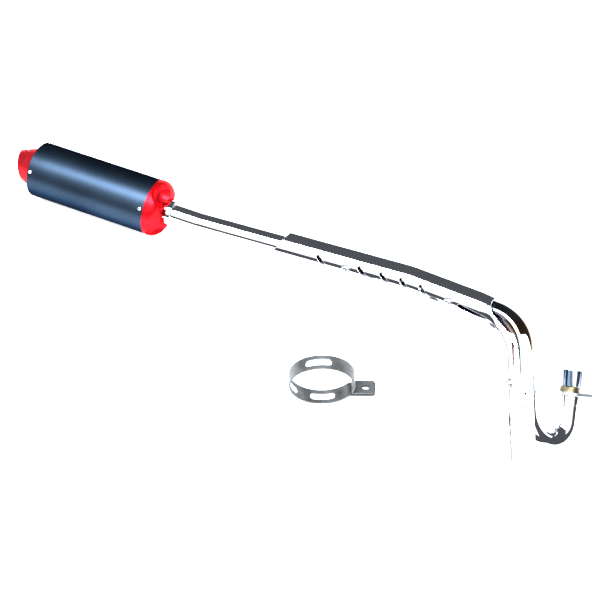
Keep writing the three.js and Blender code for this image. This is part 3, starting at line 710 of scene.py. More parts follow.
def collar_finish():
    """Heat-tinted bronze collar with turning marks."""
    paint = Paint("collar_bronze", Metallic=1.0)
    axis = ROUTE.at(ROUTE.length)[1][0]
    rings = (paint.along(axis, (0, 0, 0)) * 9000.0).sine() * 0.5 + 0.5
    stain = paint.noise(140.0, 5.0, 0.6)
    stops = [(0.3, (0.05, 0.042, 0.022)), (0.52, (0.13, 0.105, 0.055)), (0.75, (0.26, 0.22, 0.13))]
    tone = paint.ramp(stain, stops)
    paint.set("Base Color", tone)
    paint.set("Roughness", 0.24 + stain * 0.16 + rings * 0.05)
    paint.relief(rings, 0.15, 0.0002)
    return paint.material


def sleeve_finish(colour):
    """Satin black hard coat, bluish in the light, with a fine grain."""
    paint = Paint("black_sleeve", Metallic=1.0, Specular_Tint=(0.06, 0.08, 0.12, 1.0))
    grain = paint.noise(2200.0, 2.0)
    drawn = paint.noise(60.0, 4.0, 0.6)
    cloud = paint.noise(16.0, 4.0)
    tone = paint.mix(cloud.between(0.3, 0.75), colour, tuple(c * 1.35 for c in colour))
    tone = paint.mix(grain.between(0.45, 0.75) * 0.4, tone, tuple(c * 1.8 for c in colour))
    paint.set("Base Color", tone)
    paint.set("Roughness", 0.33 + grain * 0.07 + cloud * 0.06 + drawn * 0.03)
    paint.relief(grain * 0.7 + drawn * 0.3, 0.10, 0.0003)
    return paint.material


def red_finish(name, colour, pitch):
    """Red anodised alloy with lathe lines round the silencer's axis."""
    rim_tint = (0.9, 0.10, 0.12, 1.0)
    paint = Paint(name, Metallic=0.8, Specular_IOR_Level=0.15, Specular_Tint=rim_tint, Coat_Roughness=0.15)
    along = paint.along(CAN_BACK, CAN_INLET)
    lines = (along * (2 * math.pi / pitch)).sine() * 0.5 + 0.5
    cloud = paint.noise(45.0, 4.0)
    speck = paint.noise(1500.0, 2.0)
    tone = paint.mix(cloud.between(0.3, 0.75), colour, (colour[0] * 0.72, colour[1] * 0.5, colour[2] * 0.6))
    tone = paint.mix(lines * 0.16, tone, (min(1.0, colour[0] * 1.2), colour[1] * 5, colour[2] * 4))
    paint.set("Base Color", tone)
    paint.set("Roughness", 0.24 + lines * 0.07 + speck * 0.06 + cloud * 0.04)
    paint.set("Coat Weight", cloud * 0.05)
    paint.relief(lines * 0.8 + speck * 0.2, 0.10, 0.00025)
    return paint.material


def spigot_painted_reflection(colour):
    """Bright plating with painted reflections: dark blue and pale streaks, set by the distance across X, that run along
    the spigot.
    """
    paint = Paint("chrome_spigot_painted_reflection", Metallic=1.0)
    across = paint.along((1.0, 0.0, 0.0), HEAD) * (1 / 0.0276) + 0.5
    wander = paint.noise(60.0, 4.0) * 0.16 - 0.08
    # Painted reflection: the pale, deep blue and middle stops put bright and dark mirrored surroundings into the
    # colour.
    pale, deep, middle = tuple(c * 0.75 for c in colour), (0.03, 0.055, 0.11), (0.20, 0.29, 0.40)
    stops = [(0.08, pale), (0.24, deep), (0.38, middle), (0.50, deep), (0.64, colour), (0.80, pale), (0.95, deep)]
    paint.set("Base Color", paint.ramp(across + wander, stops))
    paint.set("Roughness", 0.06 + paint.noise(500.0, 3.0) * 0.06)
    return paint.material


def zinc_finish(colour):
    """Grainy zinc plate with spangles and small scratches."""
    paint = Paint("zinc_band", Metallic=0.85)
    spangle = paint.node(
        "ShaderNodeTexVoronoi", {"feature": "F1"}, {"Vector": paint.place, "Scale": 420.0}, "Color"
    )
    speck = paint.noise(1400.0, 3.0, 0.7)
    cloud = paint.noise(40.0, 4.0)
    shade = paint.part(spangle, "X")
    tone = paint.mix(shade * 0.5 + speck * 0.5, tuple(c * 0.62 for c in colour), tuple(c * 1.25 for c in colour))
    paint.set("Base Color", paint.mix(cloud.between(0.4, 0.8) * 0.4, tone, (0.30, 0.295, 0.285)))
    paint.set("Roughness", 0.42 + speck * 0.22)
    paint.relief(speck * 0.7 + shade * 0.3, 0.35, 0.0003)
    return paint.material


def wool_finish():
    """Glass fibre packing with browned patches."""
    paint = Paint("packing_wool", Roughness=1.0)
    strands = paint.noise(300.0, 6.0, 0.7, stretch=(1.0, 0.25, 1.0))
    scorch = paint.noise(30.0, 3.0).between(0.45, 0.75)
    tone = paint.mix(strands, (0.42, 0.36, 0.24), (0.86, 0.80, 0.62))
    paint.set("Base Color", paint.mix(scorch * 0.6, tone, (0.20, 0.13, 0.07)))
    paint.relief(strands, 0.8, 0.001)
    return paint.material


def floor_finish(colour, glow):
    """Pale studio paper with the faintest grain."""
    paint = Paint("studio_paper", Roughness=0.9)
    tone = paint.noise(7.0, 2.0)
    paint.set("Base Color", paint.mix(tone, colour, tuple(c * 0.985 for c in colour)))
    paint.shader.inputs["Emission Color"].default_value = (*colour, 1.0)
    paint.shader.inputs["Emission Strength"].default_value = glow
    return paint.material


ELBOW = SHIELD_ROUTE.at(SHIELD_START + 300 * MM)[0][0]
LEG = ROUTE.at(ROUTE.length - 230 * MM)[0][0]
HEAD = ROUTE.at(ROUTE.length)[0][0]
FINISHES = {}


def finish_for(slot):
    """The material for one of the record's slots, made once."""
    if slot in FINISHES:
        return FINISHES[slot]
    looks = bpy.context.scene.exhaust_looks
    red = tuple(looks.red)
    deep_red = (red[0] * 0.86, red[1] * 1.6 + 0.006, red[2] * 1.9)
    makers = {
        "chrome": lambda: chrome_finish("chrome_shield", tuple(looks.chrome)),
        "chrome_pipe": lambda: chrome_finish(
            "chrome_pipe",
            tuple(looks.chrome),
            [
                (LEG, 0.06, (0.20, 0.10, 0.035), 0.9),
                # Painted dark reflection: near-black blue over the exposed elbow, standing in for dark surroundings
                # mirrored in the chrome.
                (ELBOW, 0.085, (0.010, 0.015, 0.04), 0.97),
                (HEAD, 0.035, (0.42, 0.42, 0.36), 0.4),
            ],
        ),
        "chrome_spigot_painted_reflection": lambda: spigot_painted_reflection(tuple(looks.chrome)),
        "weld_steel": weld_finish,
        "heat_tinted_collar": collar_finish,
        "flange_steel": lambda: brushed_finish("flange_plate", (0.50, 0.51, 0.53), 0.22),
        "fastener_steel": lambda: brushed_finish("fastener_plate", (0.52, 0.53, 0.56), 0.16, 700.0, (1, 1, 1)),
        "inner_steel": lambda: brushed_finish("inner_steel", (0.34, 0.33, 0.32), 0.35, 500.0),
        "packing_wool": wool_finish,
        "black_sleeve": lambda: sleeve_finish(tuple(looks.sleeve)),
        "red_anodised": lambda: red_finish("red_inlet_cap", red, 0.0011),
        "red_outlet": lambda: red_finish("red_outlet_cap", deep_red, 0.0014),
        "zinc_band": lambda: zinc_finish(tuple(looks.zinc)),
    }
    FINISHES[slot] = makers[slot]()
    return FINISHES[slot]


def fit(obj, body, slot, *nodes, finish=None):
    """Gives a finished piece the material of its slot or named finish, hangs it on its body and hides the CAD nodes
    that it stands for.
    """
    obj.data.materials.clear()
    obj.data.materials.append(finish_for(finish or slot))
    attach(obj, body)
    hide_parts(*nodes)
    return obj


# ---------------------------------------------------------------- sizes and colours
def size(label, text, default):
    return FloatProperty(name=label, description=text, default=default, unit="LENGTH", precision=4)


def tint(label, text, default):
    return FloatVectorProperty(name=label, description=text, default=default, subtype="COLOR", min=0.0, max=1.0)


class ExhaustPipeSizes(bpy.types.PropertyGroup):
    od: size("Pipe diameter", "Outside diameter of the header and tail pipe", 0.028)
    wall: size("Pipe wall", "Wall thickness of the pipes", 0.0015)
    head_od: size("Head sleeve diameter", "Outside diameter of the last stretch before the flange", 0.0294)
    collar_od: size("Collar diameter", "Outside diameter of the gasket collar", 0.0254)
    spigot_od: size("Spigot diameter", "Outside diameter of the spigot in the port", 0.0276)
    flange_length: size("Flange length", "Length of the two-lug flange", 0.060)
    flange_width: size("Flange width", "Width of the two-lug flange", 0.038)
    stud_spacing: size("Stud spacing", "Distance between the stud holes", 0.045)


class ExhaustShieldSizes(bpy.types.PropertyGroup):
    radius: size("Shield radius", "Outside radius of the heat shield", 0.022)
    wall: size("Shield wall", "Sheet thickness of the heat shield", 0.0012)
    wrap: FloatProperty(
        name="Wrap", description="How far the shield goes round to each side", default=math.radians(82), subtype="ANGLE"
    )
    slot_length: size("Slot length", "Length of the slanted slots", 0.030)
    slot_width: size("Slot width", "Width of the slots", 0.0052)
    vent: size("Vent diameter", "Diameter of the small vents", 0.0036)


class ExhaustCanSizes(bpy.types.PropertyGroup):
    od: size("Sleeve diameter", "Outside diameter of the silencer's sleeve", 0.080)
    length: size("Sleeve length", "Length of the silencer's sleeve", 0.183)
    rivets: IntProperty(name="Rivets", description="Rivets at each end of the sleeve", default=4, min=1)
    scoops: IntProperty(name="Scoops", description="Scoops cut round the inlet cap", default=3, min=2)
    core_pitch: size("Perforation pitch", "Distance between the holes of the core", 0.006)


class ExhaustLooks(bpy.types.PropertyGroup):
    chrome: tint("Chrome", "Colour of the bright plating", (0.80, 0.81, 0.84))
    red: tint("Red", "Colour of the anodised caps", (0.66, 0.006, 0.012))
    sleeve: tint("Sleeve", "Colour of the silencer's sleeve", (0.022, 0.034, 0.052))
    zinc: tint("Zinc", "Colour of the band clamp", (0.095, 0.093, 0.090))
    floor: tint("Floor", "Colour of the studio floor", (0.93, 0.93, 0.93))


# ---------------------------------------------------------------- pipes
class EXHAUST_OT_pipes(bpy.types.Operator):
    """Header pipe, tail pipe and the weld between them"""

    bl_idname = "exhaust.pipes"
    bl_label = "Pipes"

    def execute(self, context):
        sizes = context.scene.exhaust_pipe
        radius = sizes.od / 2
        finish = finish_for("chrome_pipe")
        tail = swept_tube("tail_pipe_bright", ROUTE.stretch(0, PIPE_JOINT - GAP / 2), radius, sizes.wall, finish)
        fit(tail, "header", "chrome", "tail_pipe", finish="chrome_pipe")
        line = ROUTE.stretch(PIPE_JOINT + GAP / 2, HEAD_START)
        header = swept_tube("header_pipe_bright", line, radius, sizes.wall, finish)
        fit(header, "header", "chrome", "header_pipe", finish="chrome_pipe")
        inner = radius + GAP
        bead = [(inner, -1.5 * MM)]
        for share in np.linspace(0, 1, 9):
            bead.append((inner + 0.9 * MM * math.sin(math.pi * (0.1 + 0.8 * share)), (share - 0.5) * 3 * MM))
        bead.append((inner, 1.5 * MM))
        along = ROUTE.frame(PIPE_JOINT) @ Matrix.Rotation(-math.pi / 2, 4, "Z")
        weld = new_object("weld_bead", lathe(bead, along, 96, 50))
        fit(weld, "header", "weld_steel", "pipe_weld")
        return {"FINISHED"}


# ---------------------------------------------------------------- heat shield
SHIELD_SCREWS = [116 * MM, 265 * MM, 433 * MM]
SLANTED_SLOTS = [84 * MM, 143 * MM, 174 * MM, 203 * MM, 232 * MM]


def on_shield(loop, distance, around, radius):
    """Flat outlines laid over the shield at a place, as distances along and round it."""
    local = SHIELD_ROUTE.frame(SHIELD_START + distance, around).inverted()
    turn = np.array(local.to_3x3())
    shift = np.array(local.translation)
    lean = np.arcsin(np.clip(loop[:, 1] / radius, -0.98, 0.98))
    guess = np.stack([distance + loop[:, 0], around + lean], axis=1)

    def seen(at):
        points = SHIELD_ROUTE.surface(SHIELD_START + at[:, 0], at[:, 1], radius)
        return (points @ turn.T + shift)[:, [0, 2]]

    for _ in range(8):
        here = seen(guess)
        error = loop - here
        step_s, step_a = 1e-5, 1e-3
        ds = (seen(guess + [step_s, 0]) - here) / step_s
        da = (seen(guess + [0, step_a]) - here) / step_a
        det = ds[:, 0] * da[:, 1] - ds[:, 1] * da[:, 0]
        det = np.where(np.abs(det) < 1e-9, 1e-9, det)
        change = np.stack(
            [
                (error[:, 0] * da[:, 1] - error[:, 1] * da[:, 0]) / det,
                (ds[:, 0] * error[:, 1] - ds[:, 1] * error[:, 0]) / det,
            ],
            axis=1,
        )
        guess = guess + np.clip(change, [-5 * MM, -0.2], [5 * MM, 0.2])
    return guess * [1.0, radius]


class EXHAUST_OT_shield(bpy.types.Operator):
    """The slotted and vented heat shield"""

    bl_idname = "exhaust.shield"
    bl_label = "Heat shield"

    def execute(self, context):
        sizes = context.scene.exhaust_shield
        radius, wrap = sizes.radius, sizes.wrap
        length = SHIELD_ROUTE.length - SHIELD_START
        slant = math.tan(math.radians(30))
        pitch = 1.6 * MM
        angles = np.linspace(-wrap, wrap, 44)
        tip = np.stack([length - radius + radius * np.cos(angles), angles * radius], axis=1)
        lead = np.maximum(0.0, 12 * MM - radius * np.sin(angles) * slant)
        start = np.stack([lead, angles * radius], axis=1)[::-1]
        low = np.stack([np.arange(start[-1, 0] + pitch, tip[0, 0] - pitch / 2, pitch)] * 2, axis=1)
        low[:, 1] = -wrap * radius
        high = np.stack([np.arange(tip[-1, 0] - pitch, start[0, 0] + pitch / 2, -pitch)] * 2, axis=1)
        high[:, 1] = wrap * radius
        bite = on_shield(stadium(62 * MM, 34 * MM, steps=24), 345 * MM, math.radians(-72), radius)
        above = bite[:, 1] > -wrap * radius + 0.4 * MM
        first = int(np.argmax(above & ~np.roll(above, 1)))
        bite, above = np.roll(bite, -first, axis=0), np.roll(above, -first)
        bite = bite[above][::-1]
        before, after = low[low[:, 0] < bite[0, 0] - pitch], low[low[:, 0] > bite[-1, 0] + pitch]
        outline = np.concatenate([before, bite, after, tip, high, start])
        steps = np.linalg.norm(outline - np.roll(outline, 1, axis=0), axis=1)
        outline = outline[steps > 0.2 * MM]
        holes = []
        for distance in SHIELD_SCREWS:
            holes.append(on_shield(stadium(5.6 * MM, 5.6 * MM, steps=14), distance, 0.0, radius))
        slanted = stadium(sizes.slot_length, sizes.slot_width, math.radians(44), 12)
        for distance in SLANTED_SLOTS:
            holes.append(on_shield(slanted, distance, math.radians(9), radius))
        curved = stadium(43 * MM, sizes.slot_width, math.radians(6), 12)
        holes.append(on_shield(curved, 300 * MM, math.radians(6), radius))
        for around in (-14, 40):
            leg = stadium(36 * MM, sizes.slot_width, 0.0, 12)
            holes.append(on_shield(leg, 398 * MM, math.radians(around), radius))
        vent = stadium(sizes.vent, sizes.vent, steps=10)
        for row in range(4):
            for around, lag in ((-52, 0), (-6, 0), (-30, 9), (32, 9)):
                holes.append(on_shield(vent, (448 + row * 18 + lag) * MM, math.radians(around), radius))
        top = radius * wrap - 1 * MM
        holes = [h for h in holes if h[:, 1].max() < top and h[:, 1].min() > -top and h[:, 0].max() < length]

        def place(u, v, depth):
            return SHIELD_ROUTE.surface(SHIELD_START + u, v / radius, radius - depth)

        shield = pressed_sheet("shield_bright", outline, holes, place, sizes.wall, pitch, 0.35 * MM)
        fit(shield, "header", "chrome", "heat_shield")
        return {"FINISHED"}


def hex_tool(radius, start, end):
    """A hexagonal prism along +Y."""
    corners = [(radius * math.sin(math.pi * k / 3), radius * math.cos(math.pi * k / 3)) for k in range(6)]
    points = [(x, y, z) for y in (start, end) for x, z in corners]
    faces = [tuple(range(6))[::-1], tuple(range(6, 12))]
    faces += [(k, (k + 1) % 6, (k + 1) % 6 + 6, k + 6) for k in range(6)]
    return tidy_shell(mesh_of(points, faces), 30)


def button_head(head, height, floor, tip, shank, socket):
    """A button-head screw along +Y with a hexagonal socket."""
    profile = [(0, tip), (shank - 0.5 * MM, tip), (shank, tip + 0.5 * MM), (shank, floor)]
    profile += [(head * 0.97, floor), (head, floor + 0.25 * MM)]
    for share in np.linspace(0.08, 1, 12):
        angle = share * math.pi / 2
        rise = floor + 0.3 * MM + (height - 0.3 * MM) * math.sin(angle)
        profile.append((head * (0.42 + 0.58 * math.cos(angle)), rise))
    profile.append((0, floor + height))
    blank = lathe(profile, None, 48, 30)
    return carve(blank, [hex_tool(socket, floor + height - 1.8 * MM, floor + height + MM)], "button", 30)


class EXHAUST_OT_shield_screws(bpy.types.Operator):
    """Screws, washers and bosses that hold the shield to the pipe"""

    bl_idname = "exhaust.shield_screws"
    bl_label = "Shield screws"

    def execute(self, context):
        radius = context.scene.exhaust_shield.radius
        seat = context.scene.exhaust_pipe.od / 2 + GAP
        places = [SHIELD_ROUTE.frame(SHIELD_START + distance) for distance in SHIELD_SCREWS]
        finish = finish_for("fastener_steel")
        washer_floor = radius + GAP
        head_floor = washer_floor + MM + GAP
        one = button_head(5 * MM, 3.2 * MM, head_floor, seat + 0.8 * MM, 2.5 * MM, 1.75 * MM)
        mesh = one.data.copy()
        bpy.data.objects.remove(one)
        screws = row_of("shield_screws", mesh, places, 1.0, finish, 30)
        fit(screws, "header", "fastener_steel", *[f"shield_screw_{i}" for i in (1, 2, 3)])
        ring = lathe(tube_profile(2.8 * MM, 6.25 * MM, washer_floor, washer_floor + MM), None, 64)
        washers = row_of("shield_washers", ring, places, 1.0, finish)
        fit(washers, "header", "fastener_steel", *[f"shield_washer_{i}" for i in (1, 2, 3)])
        top = radius - context.scene.exhaust_shield.wall - 2 * GAP
        ring = lathe(tube_profile(2.65 * MM, 4.5 * MM, seat + 0.5 * MM, top - 0.2 * MM), None, 48)
        bosses = row_of("shield_bosses", ring, places, 1.0, finish)
        fit(bosses, "header", "fastener_steel", *[f"shield_boss_{i}" for i in (1, 2, 3)])
        return {"FINISHED"}


# ---------------------------------------------------------------- silencer
class EXHAUST_OT_sleeve(bpy.types.Operator):
    """The black sleeve of the silencer"""

    bl_idname = "exhaust.sleeve"
    bl_label = "Sleeve"

    def execute(self, context):
        sizes = context.scene.exhaust_can
        outer = sizes.od / 2
        profile = tube_profile(outer - 1.5 * MM, outer, 0, sizes.length, 0.5 * MM, 4)
        sleeve = new_object("sleeve_black", lathe(profile, CAN_FRAME, 224, 40))
        fit(sleeve, "silencer", "black_sleeve", "can_sleeve")
        return {"FINISHED"}


def scoop_tools(count):
    """Rounded cutters spaced round the nose of the inlet cap."""
    tools = []
    for i in range(count):
        ball = bmesh.new()
        bmesh.ops.create_uvsphere(ball, u_segments=96, v_segments=64, radius=SCOOP_RADIUS)
        bmesh.ops.scale(ball, verts=ball.verts, vec=(1, SCOOP_REACH / SCOOP_RADIUS, 1))
        bmesh.ops.translate(ball, verts=ball.verts, vec=(0, -INLET_CAP_LENGTH, SCOOP_CENTRE))
        mesh = bpy.data.meshes.new("scoop")
        ball.to_mesh(mesh)
        ball.free()
        mesh.transform(CAN_FRAME @ Matrix.Rotation(math.radians(360 / count * i + SCOOP_TURN), 4, "Y"))
        tools.append(mesh)
    return tools


class EXHAUST_OT_caps(bpy.types.Operator):
    """The two red end caps"""

    bl_idname = "exhaust.caps"
    bl_label = "End caps"

    def execute(self, context):
        sizes = context.scene.exhaust_can
        outer = sizes.od / 2
        rim, skirt = outer + 0.4 * MM, outer - 1.8 * MM
        skirt_bore, bore = skirt - 4 * MM, 12.3 * MM
        nose, socket, edge = -INLET_CAP_LENGTH, CORE_SOCKET, INLET_CAP_NOSE
        dish = nose + 5 * MM
        profile = [(bore, dish), (16 * MM, dish), (19.2 * MM, nose + 0.6 * MM), (edge, nose)]
        for angle in np.linspace(0, math.pi / 2, 26)[1:]:
            reach = edge + (rim - edge) * math.sin(angle)
            profile.append((reach, nose + 16 * MM * (1 - math.cos(angle))))
        profile += [(rim, -GAP), (skirt, -GAP), (skirt, CAP_SKIRT), (skirt_bore, CAP_SKIRT), (skirt_bore, 3 * MM)]
        profile += [(socket, 3 * MM), (socket, -3 * MM), (bore, -3 * MM)]
        blank = lathe(profile, CAN_FRAME, 192)
        inlet = carve(blank, scoop_tools(sizes.scoops), "cap_red_inlet", 38)
        fit(inlet, "silencer", "red_anodised", "inlet_cap")

        length = sizes.length
        front, tip, baffle_bore = length - MM, length + OUTLET_CAP_LENGTH, 12.5 * MM
        profile = [(baffle_bore, tip), (OUTLET_TIP - 0.6 * MM, tip), (OUTLET_TIP, tip - 0.6 * MM)]
        for share in np.linspace(0, 1, 18)[1:]:
            reach = OUTLET_TIP + (OUTLET_BASE - OUTLET_TIP) * share
            profile.append((reach, tip - 0.6 * MM - (OUTLET_CAP_LENGTH - 0.2 * MM) * share))
        profile += [(OUTLET_BASE + 0.4 * MM, front), (skirt, front), (skirt, length - CAP_SKIRT)]
        profile += [(skirt_bore, length - CAP_SKIRT), (skirt_bore, front - 6 * MM), (socket, front - 6 * MM)]
        profile += [(socket, front - 3 * MM), (baffle_bore, front - 3 * MM)]
        blank = lathe(profile, CAN_FRAME, 192)
        box = bmesh.new()
        bmesh.ops.create_cube(box, size=1.0)
        bmesh.ops.scale(box, verts=box.verts, vec=(0.12, 0.04, 0.12))
        bmesh.ops.translate(box, verts=box.verts, vec=(0, 0.02, 0))
        knife = bpy.data.meshes.new("slash")
        box.to_mesh(knife)
        box.free()
        lift = tip - OUTLET_TIP * math.tan(OUTLET_SLASH)
        turn = Matrix.Rotation(SLASH_TURN, 4, "Y") @ Matrix.Rotation(OUTLET_SLASH, 4, "X")
        knife.transform(CAN_FRAME @ Matrix.Translation((0, lift, 0)) @ turn)
        screw, seat, pocket = baffle_screw_frame(length), BAFFLE_SCREW_SEAT, 5.2 * MM
        recess = lathe([(0, seat), (pocket, seat), (pocket, seat + 30 * MM), (0, seat + 30 * MM)], screw, 64)
        shank = lathe([(0, 0), (2.3 * MM, 0), (2.3 * MM, seat + MM), (0, seat + MM)], screw, 32)
        outlet = carve(blank, [knife, recess, shank], "cap_red_outlet", 30)
        fit(outlet, "silencer", "red_anodised", "outlet_cap", finish="red_outlet")
        return {"FINISHED"}


def baffle_screw_frame(length):
    """The frame of the baffle's screw: +Y out of the outlet cap."""
    turn = Matrix.Rotation(BAFFLE_SCREW_TURN, 4, "Y") @ Matrix.Rotation(math.pi / 2, 4, "X")
    return CAN_FRAME @ Matrix.Translation((0, length + BAFFLE_SCREW_PLACE, 0)) @ turn


class EXHAUST_OT_rivets(bpy.types.Operator):
    """Domed rivets round both ends of the sleeve"""

    bl_idname = "exhaust.rivets"
    bl_label = "Rivets"

    def execute(self, context):
        sizes = context.scene.exhaust_can
        outer = sizes.od / 2
        seat, shank = outer + GAP, outer - 5.8 * MM
        profile = [(0, shank), (1.5 * MM, shank), (1.5 * MM, seat), (2.75 * MM, seat)]
        for angle in np.linspace(0, math.pi / 2, 9):
            profile.append((2.8 * MM * math.cos(angle), seat + 0.15 * MM + 1.75 * MM * math.sin(angle)))
        for end, y in (("inlet", RIVET_INSET), ("outlet", sizes.length - RIVET_INSET)):
            places = []
            for i in range(sizes.rivets):
                turn = Matrix.Rotation(math.radians(360 / sizes.rivets * i + RIVET_TURN), 4, "Y")
                turn = turn @ Matrix.Rotation(math.pi / 2, 4, "X")
                places.append(CAN_FRAME @ Matrix.Translation((0, y, 0)) @ turn)
            one = lathe(profile, None, 32, 50)
            rivets = row_of(f"rivets_{end}", one, places, 1.0, finish_for("fastener_steel"), 50)
            nodes = [f"rivet_{end}_{i + 1}" for i in range(sizes.rivets)]
            fit(rivets, "silencer", "fastener_steel", *nodes)
        return {"FINISHED"}


def perforated_tube(name, radius, length, pitch, wall, finish):
    """A tube of small tiles with a hole in each, rolled up by a node tree."""
    around = max(8, round(2 * math.pi * radius / pitch))
    rows = max(4, round(length / pitch))
    wide, tall = 2 * math.pi * radius / around, length / rows
    square = [(-1, -1), (0, -1), (1, -1), (1, 0), (1, 1), (0, 1), (-1, 1), (-1, 0)]
    points = [(x * wide / 2, y * tall / 2, 0) for x, y in square]
    hole = min(wide, tall) * 0.28
    for x, y in square:
        reach = math.hypot(x, y)
        points.append((x / reach * hole, y / reach * hole, 0))
    faces = [(i, (i + 1) % 8, (i + 1) % 8 + 8, i + 8) for i in range(8)]
    tile = new_object(name + "_tile", mesh_of(points, faces))
    seed = new_object(name + "_seed", mesh_of([(0, 0, 0)], []))
    tree = Tree(name + "_roll", [
        ("Tile", "NodeSocketObject", tile),
        ("Around", "NodeSocketInt", around),
        ("Rows", "NodeSocketInt", rows),
        ("Girth", "NodeSocketFloat", 2 * math.pi * radius),
        ("Length", "NodeSocketFloat", length),
        ("Radius", "NodeSocketFloat", radius),
        ("Finish", "NodeSocketMaterial", finish),
    ])
    tile_x = tree.maths("DIVIDE", tree.given("Girth"), tree.given("Around"))
    tile_y = tree.maths("DIVIDE", tree.given("Length"), tree.given("Rows"))
    span_x = tree.maths("SUBTRACT", tree.given("Girth"), tile_x)
    span_y = tree.maths("SUBTRACT", tree.given("Length"), tile_y)
    grid = tree.node(
        "GeometryNodeMeshGrid", Size_X=span_x, Size_Y=span_y, Vertices_X=tree.given("Around"), Vertices_Y=tree.given("Rows")
    )
    shape = tree.node("GeometryNodeObjectInfo", Object=tree.given("Tile"))
    copies = tree.node("GeometryNodeInstanceOnPoints", Points=grid.outputs[0], Instance=shape.outputs["Geometry"])
    real = tree.node("GeometryNodeRealizeInstances", Geometry=copies.outputs[0])
    where = tree.node("ShaderNodeSeparateXYZ", Vector=tree.node("GeometryNodeInputPosition").outputs[0])
    angle = tree.maths("DIVIDE", where.outputs["X"], tree.given("Radius"))
    rolled = tree.node(
        "ShaderNodeCombineXYZ",
        X=tree.maths("MULTIPLY", tree.maths("SINE", angle), tree.given("Radius")),
        Y=where.outputs["Y"],
        Z=tree.maths("MULTIPLY", tree.maths("COSINE", angle), tree.given("Radius")),
    )
    bent = tree.node("GeometryNodeSetPosition", Geometry=real.outputs[0], Position=rolled.outputs[0])
    joined = tree.node("GeometryNodeMergeByDistance", Geometry=bent.outputs[0], Distance=1e-5)
    tree.finish(joined.outputs[0])
    shell = tree.grow(seed, name + "_shell", 60)
    bpy.data.objects.remove(tile)
    facing = shell.data.polygons[0]
    flip = Vector((facing.center.x, 0, facing.center.z)).dot(facing.normal) < 0
    if flip:
        shell.data.flip_normals()
    step = shell.modifiers.new("wall", "SOLIDIFY")
    step.thickness, step.offset = wall, -1.0
    return evaluated(shell, name, 40)


class EXHAUST_OT_inside(bpy.types.Operator):
    """Perforated core, packing, neck, baffle and its screw"""

    bl_idname = "exhaust.inside"
    bl_label = "Inside the silencer"

    def execute(self, context):
        sizes = context.scene.exhaust_can
        length = sizes.length
        start, end = -2.7 * MM, length - 4.3 * MM
        steel = finish_for("inner_steel")
        core = perforated_tube("core_perforated", 17 * MM, end - start, sizes.core_pitch, 1.2 * MM, steel)
        core.data.transform(CAN_FRAME @ Matrix.Translation((0, (start + end) / 2, 0)))
        fit(core, "silencer", "inner_steel", "perforated_core")
        outer = sizes.od / 2 - 1.8 * MM
        packing = lathe(tube_profile(CORE_SOCKET, outer, 13.6 * MM, length - 13.6 * MM, 3 * MM), CAN_FRAME, 96)
        fit(new_object("packing_roll", packing), "silencer", "packing_wool", "packing_wool")
        neck = lathe(tube_profile(10.5 * MM, 12 * MM, -56 * MM, -6 * MM), CAN_FRAME, 96)
        fit(new_object("neck_bright", neck), "silencer", "chrome", "inlet_neck")
        tip = length + OUTLET_CAP_LENGTH - 2 * OUTLET_TIP * math.tan(OUTLET_SLASH) - 2 * MM
        baffle = lathe(tube_profile(11 * MM, 12 * MM, tip - BAFFLE_LENGTH, tip), CAN_FRAME, 96)
        fit(new_object("baffle_tube", baffle), "baffle", "inner_steel", "baffle_insert")
        one = button_head(4 * MM, 3 * MM, BAFFLE_SCREW_SEAT + GAP, 12.6 * MM, 2 * MM, 1.7 * MM)
        one.data.transform(baffle_screw_frame(length))
        one.name = "screw_baffle"
        fit(one, "silencer", "fastener_steel", "baffle_screw")
        return {"FINISHED"}


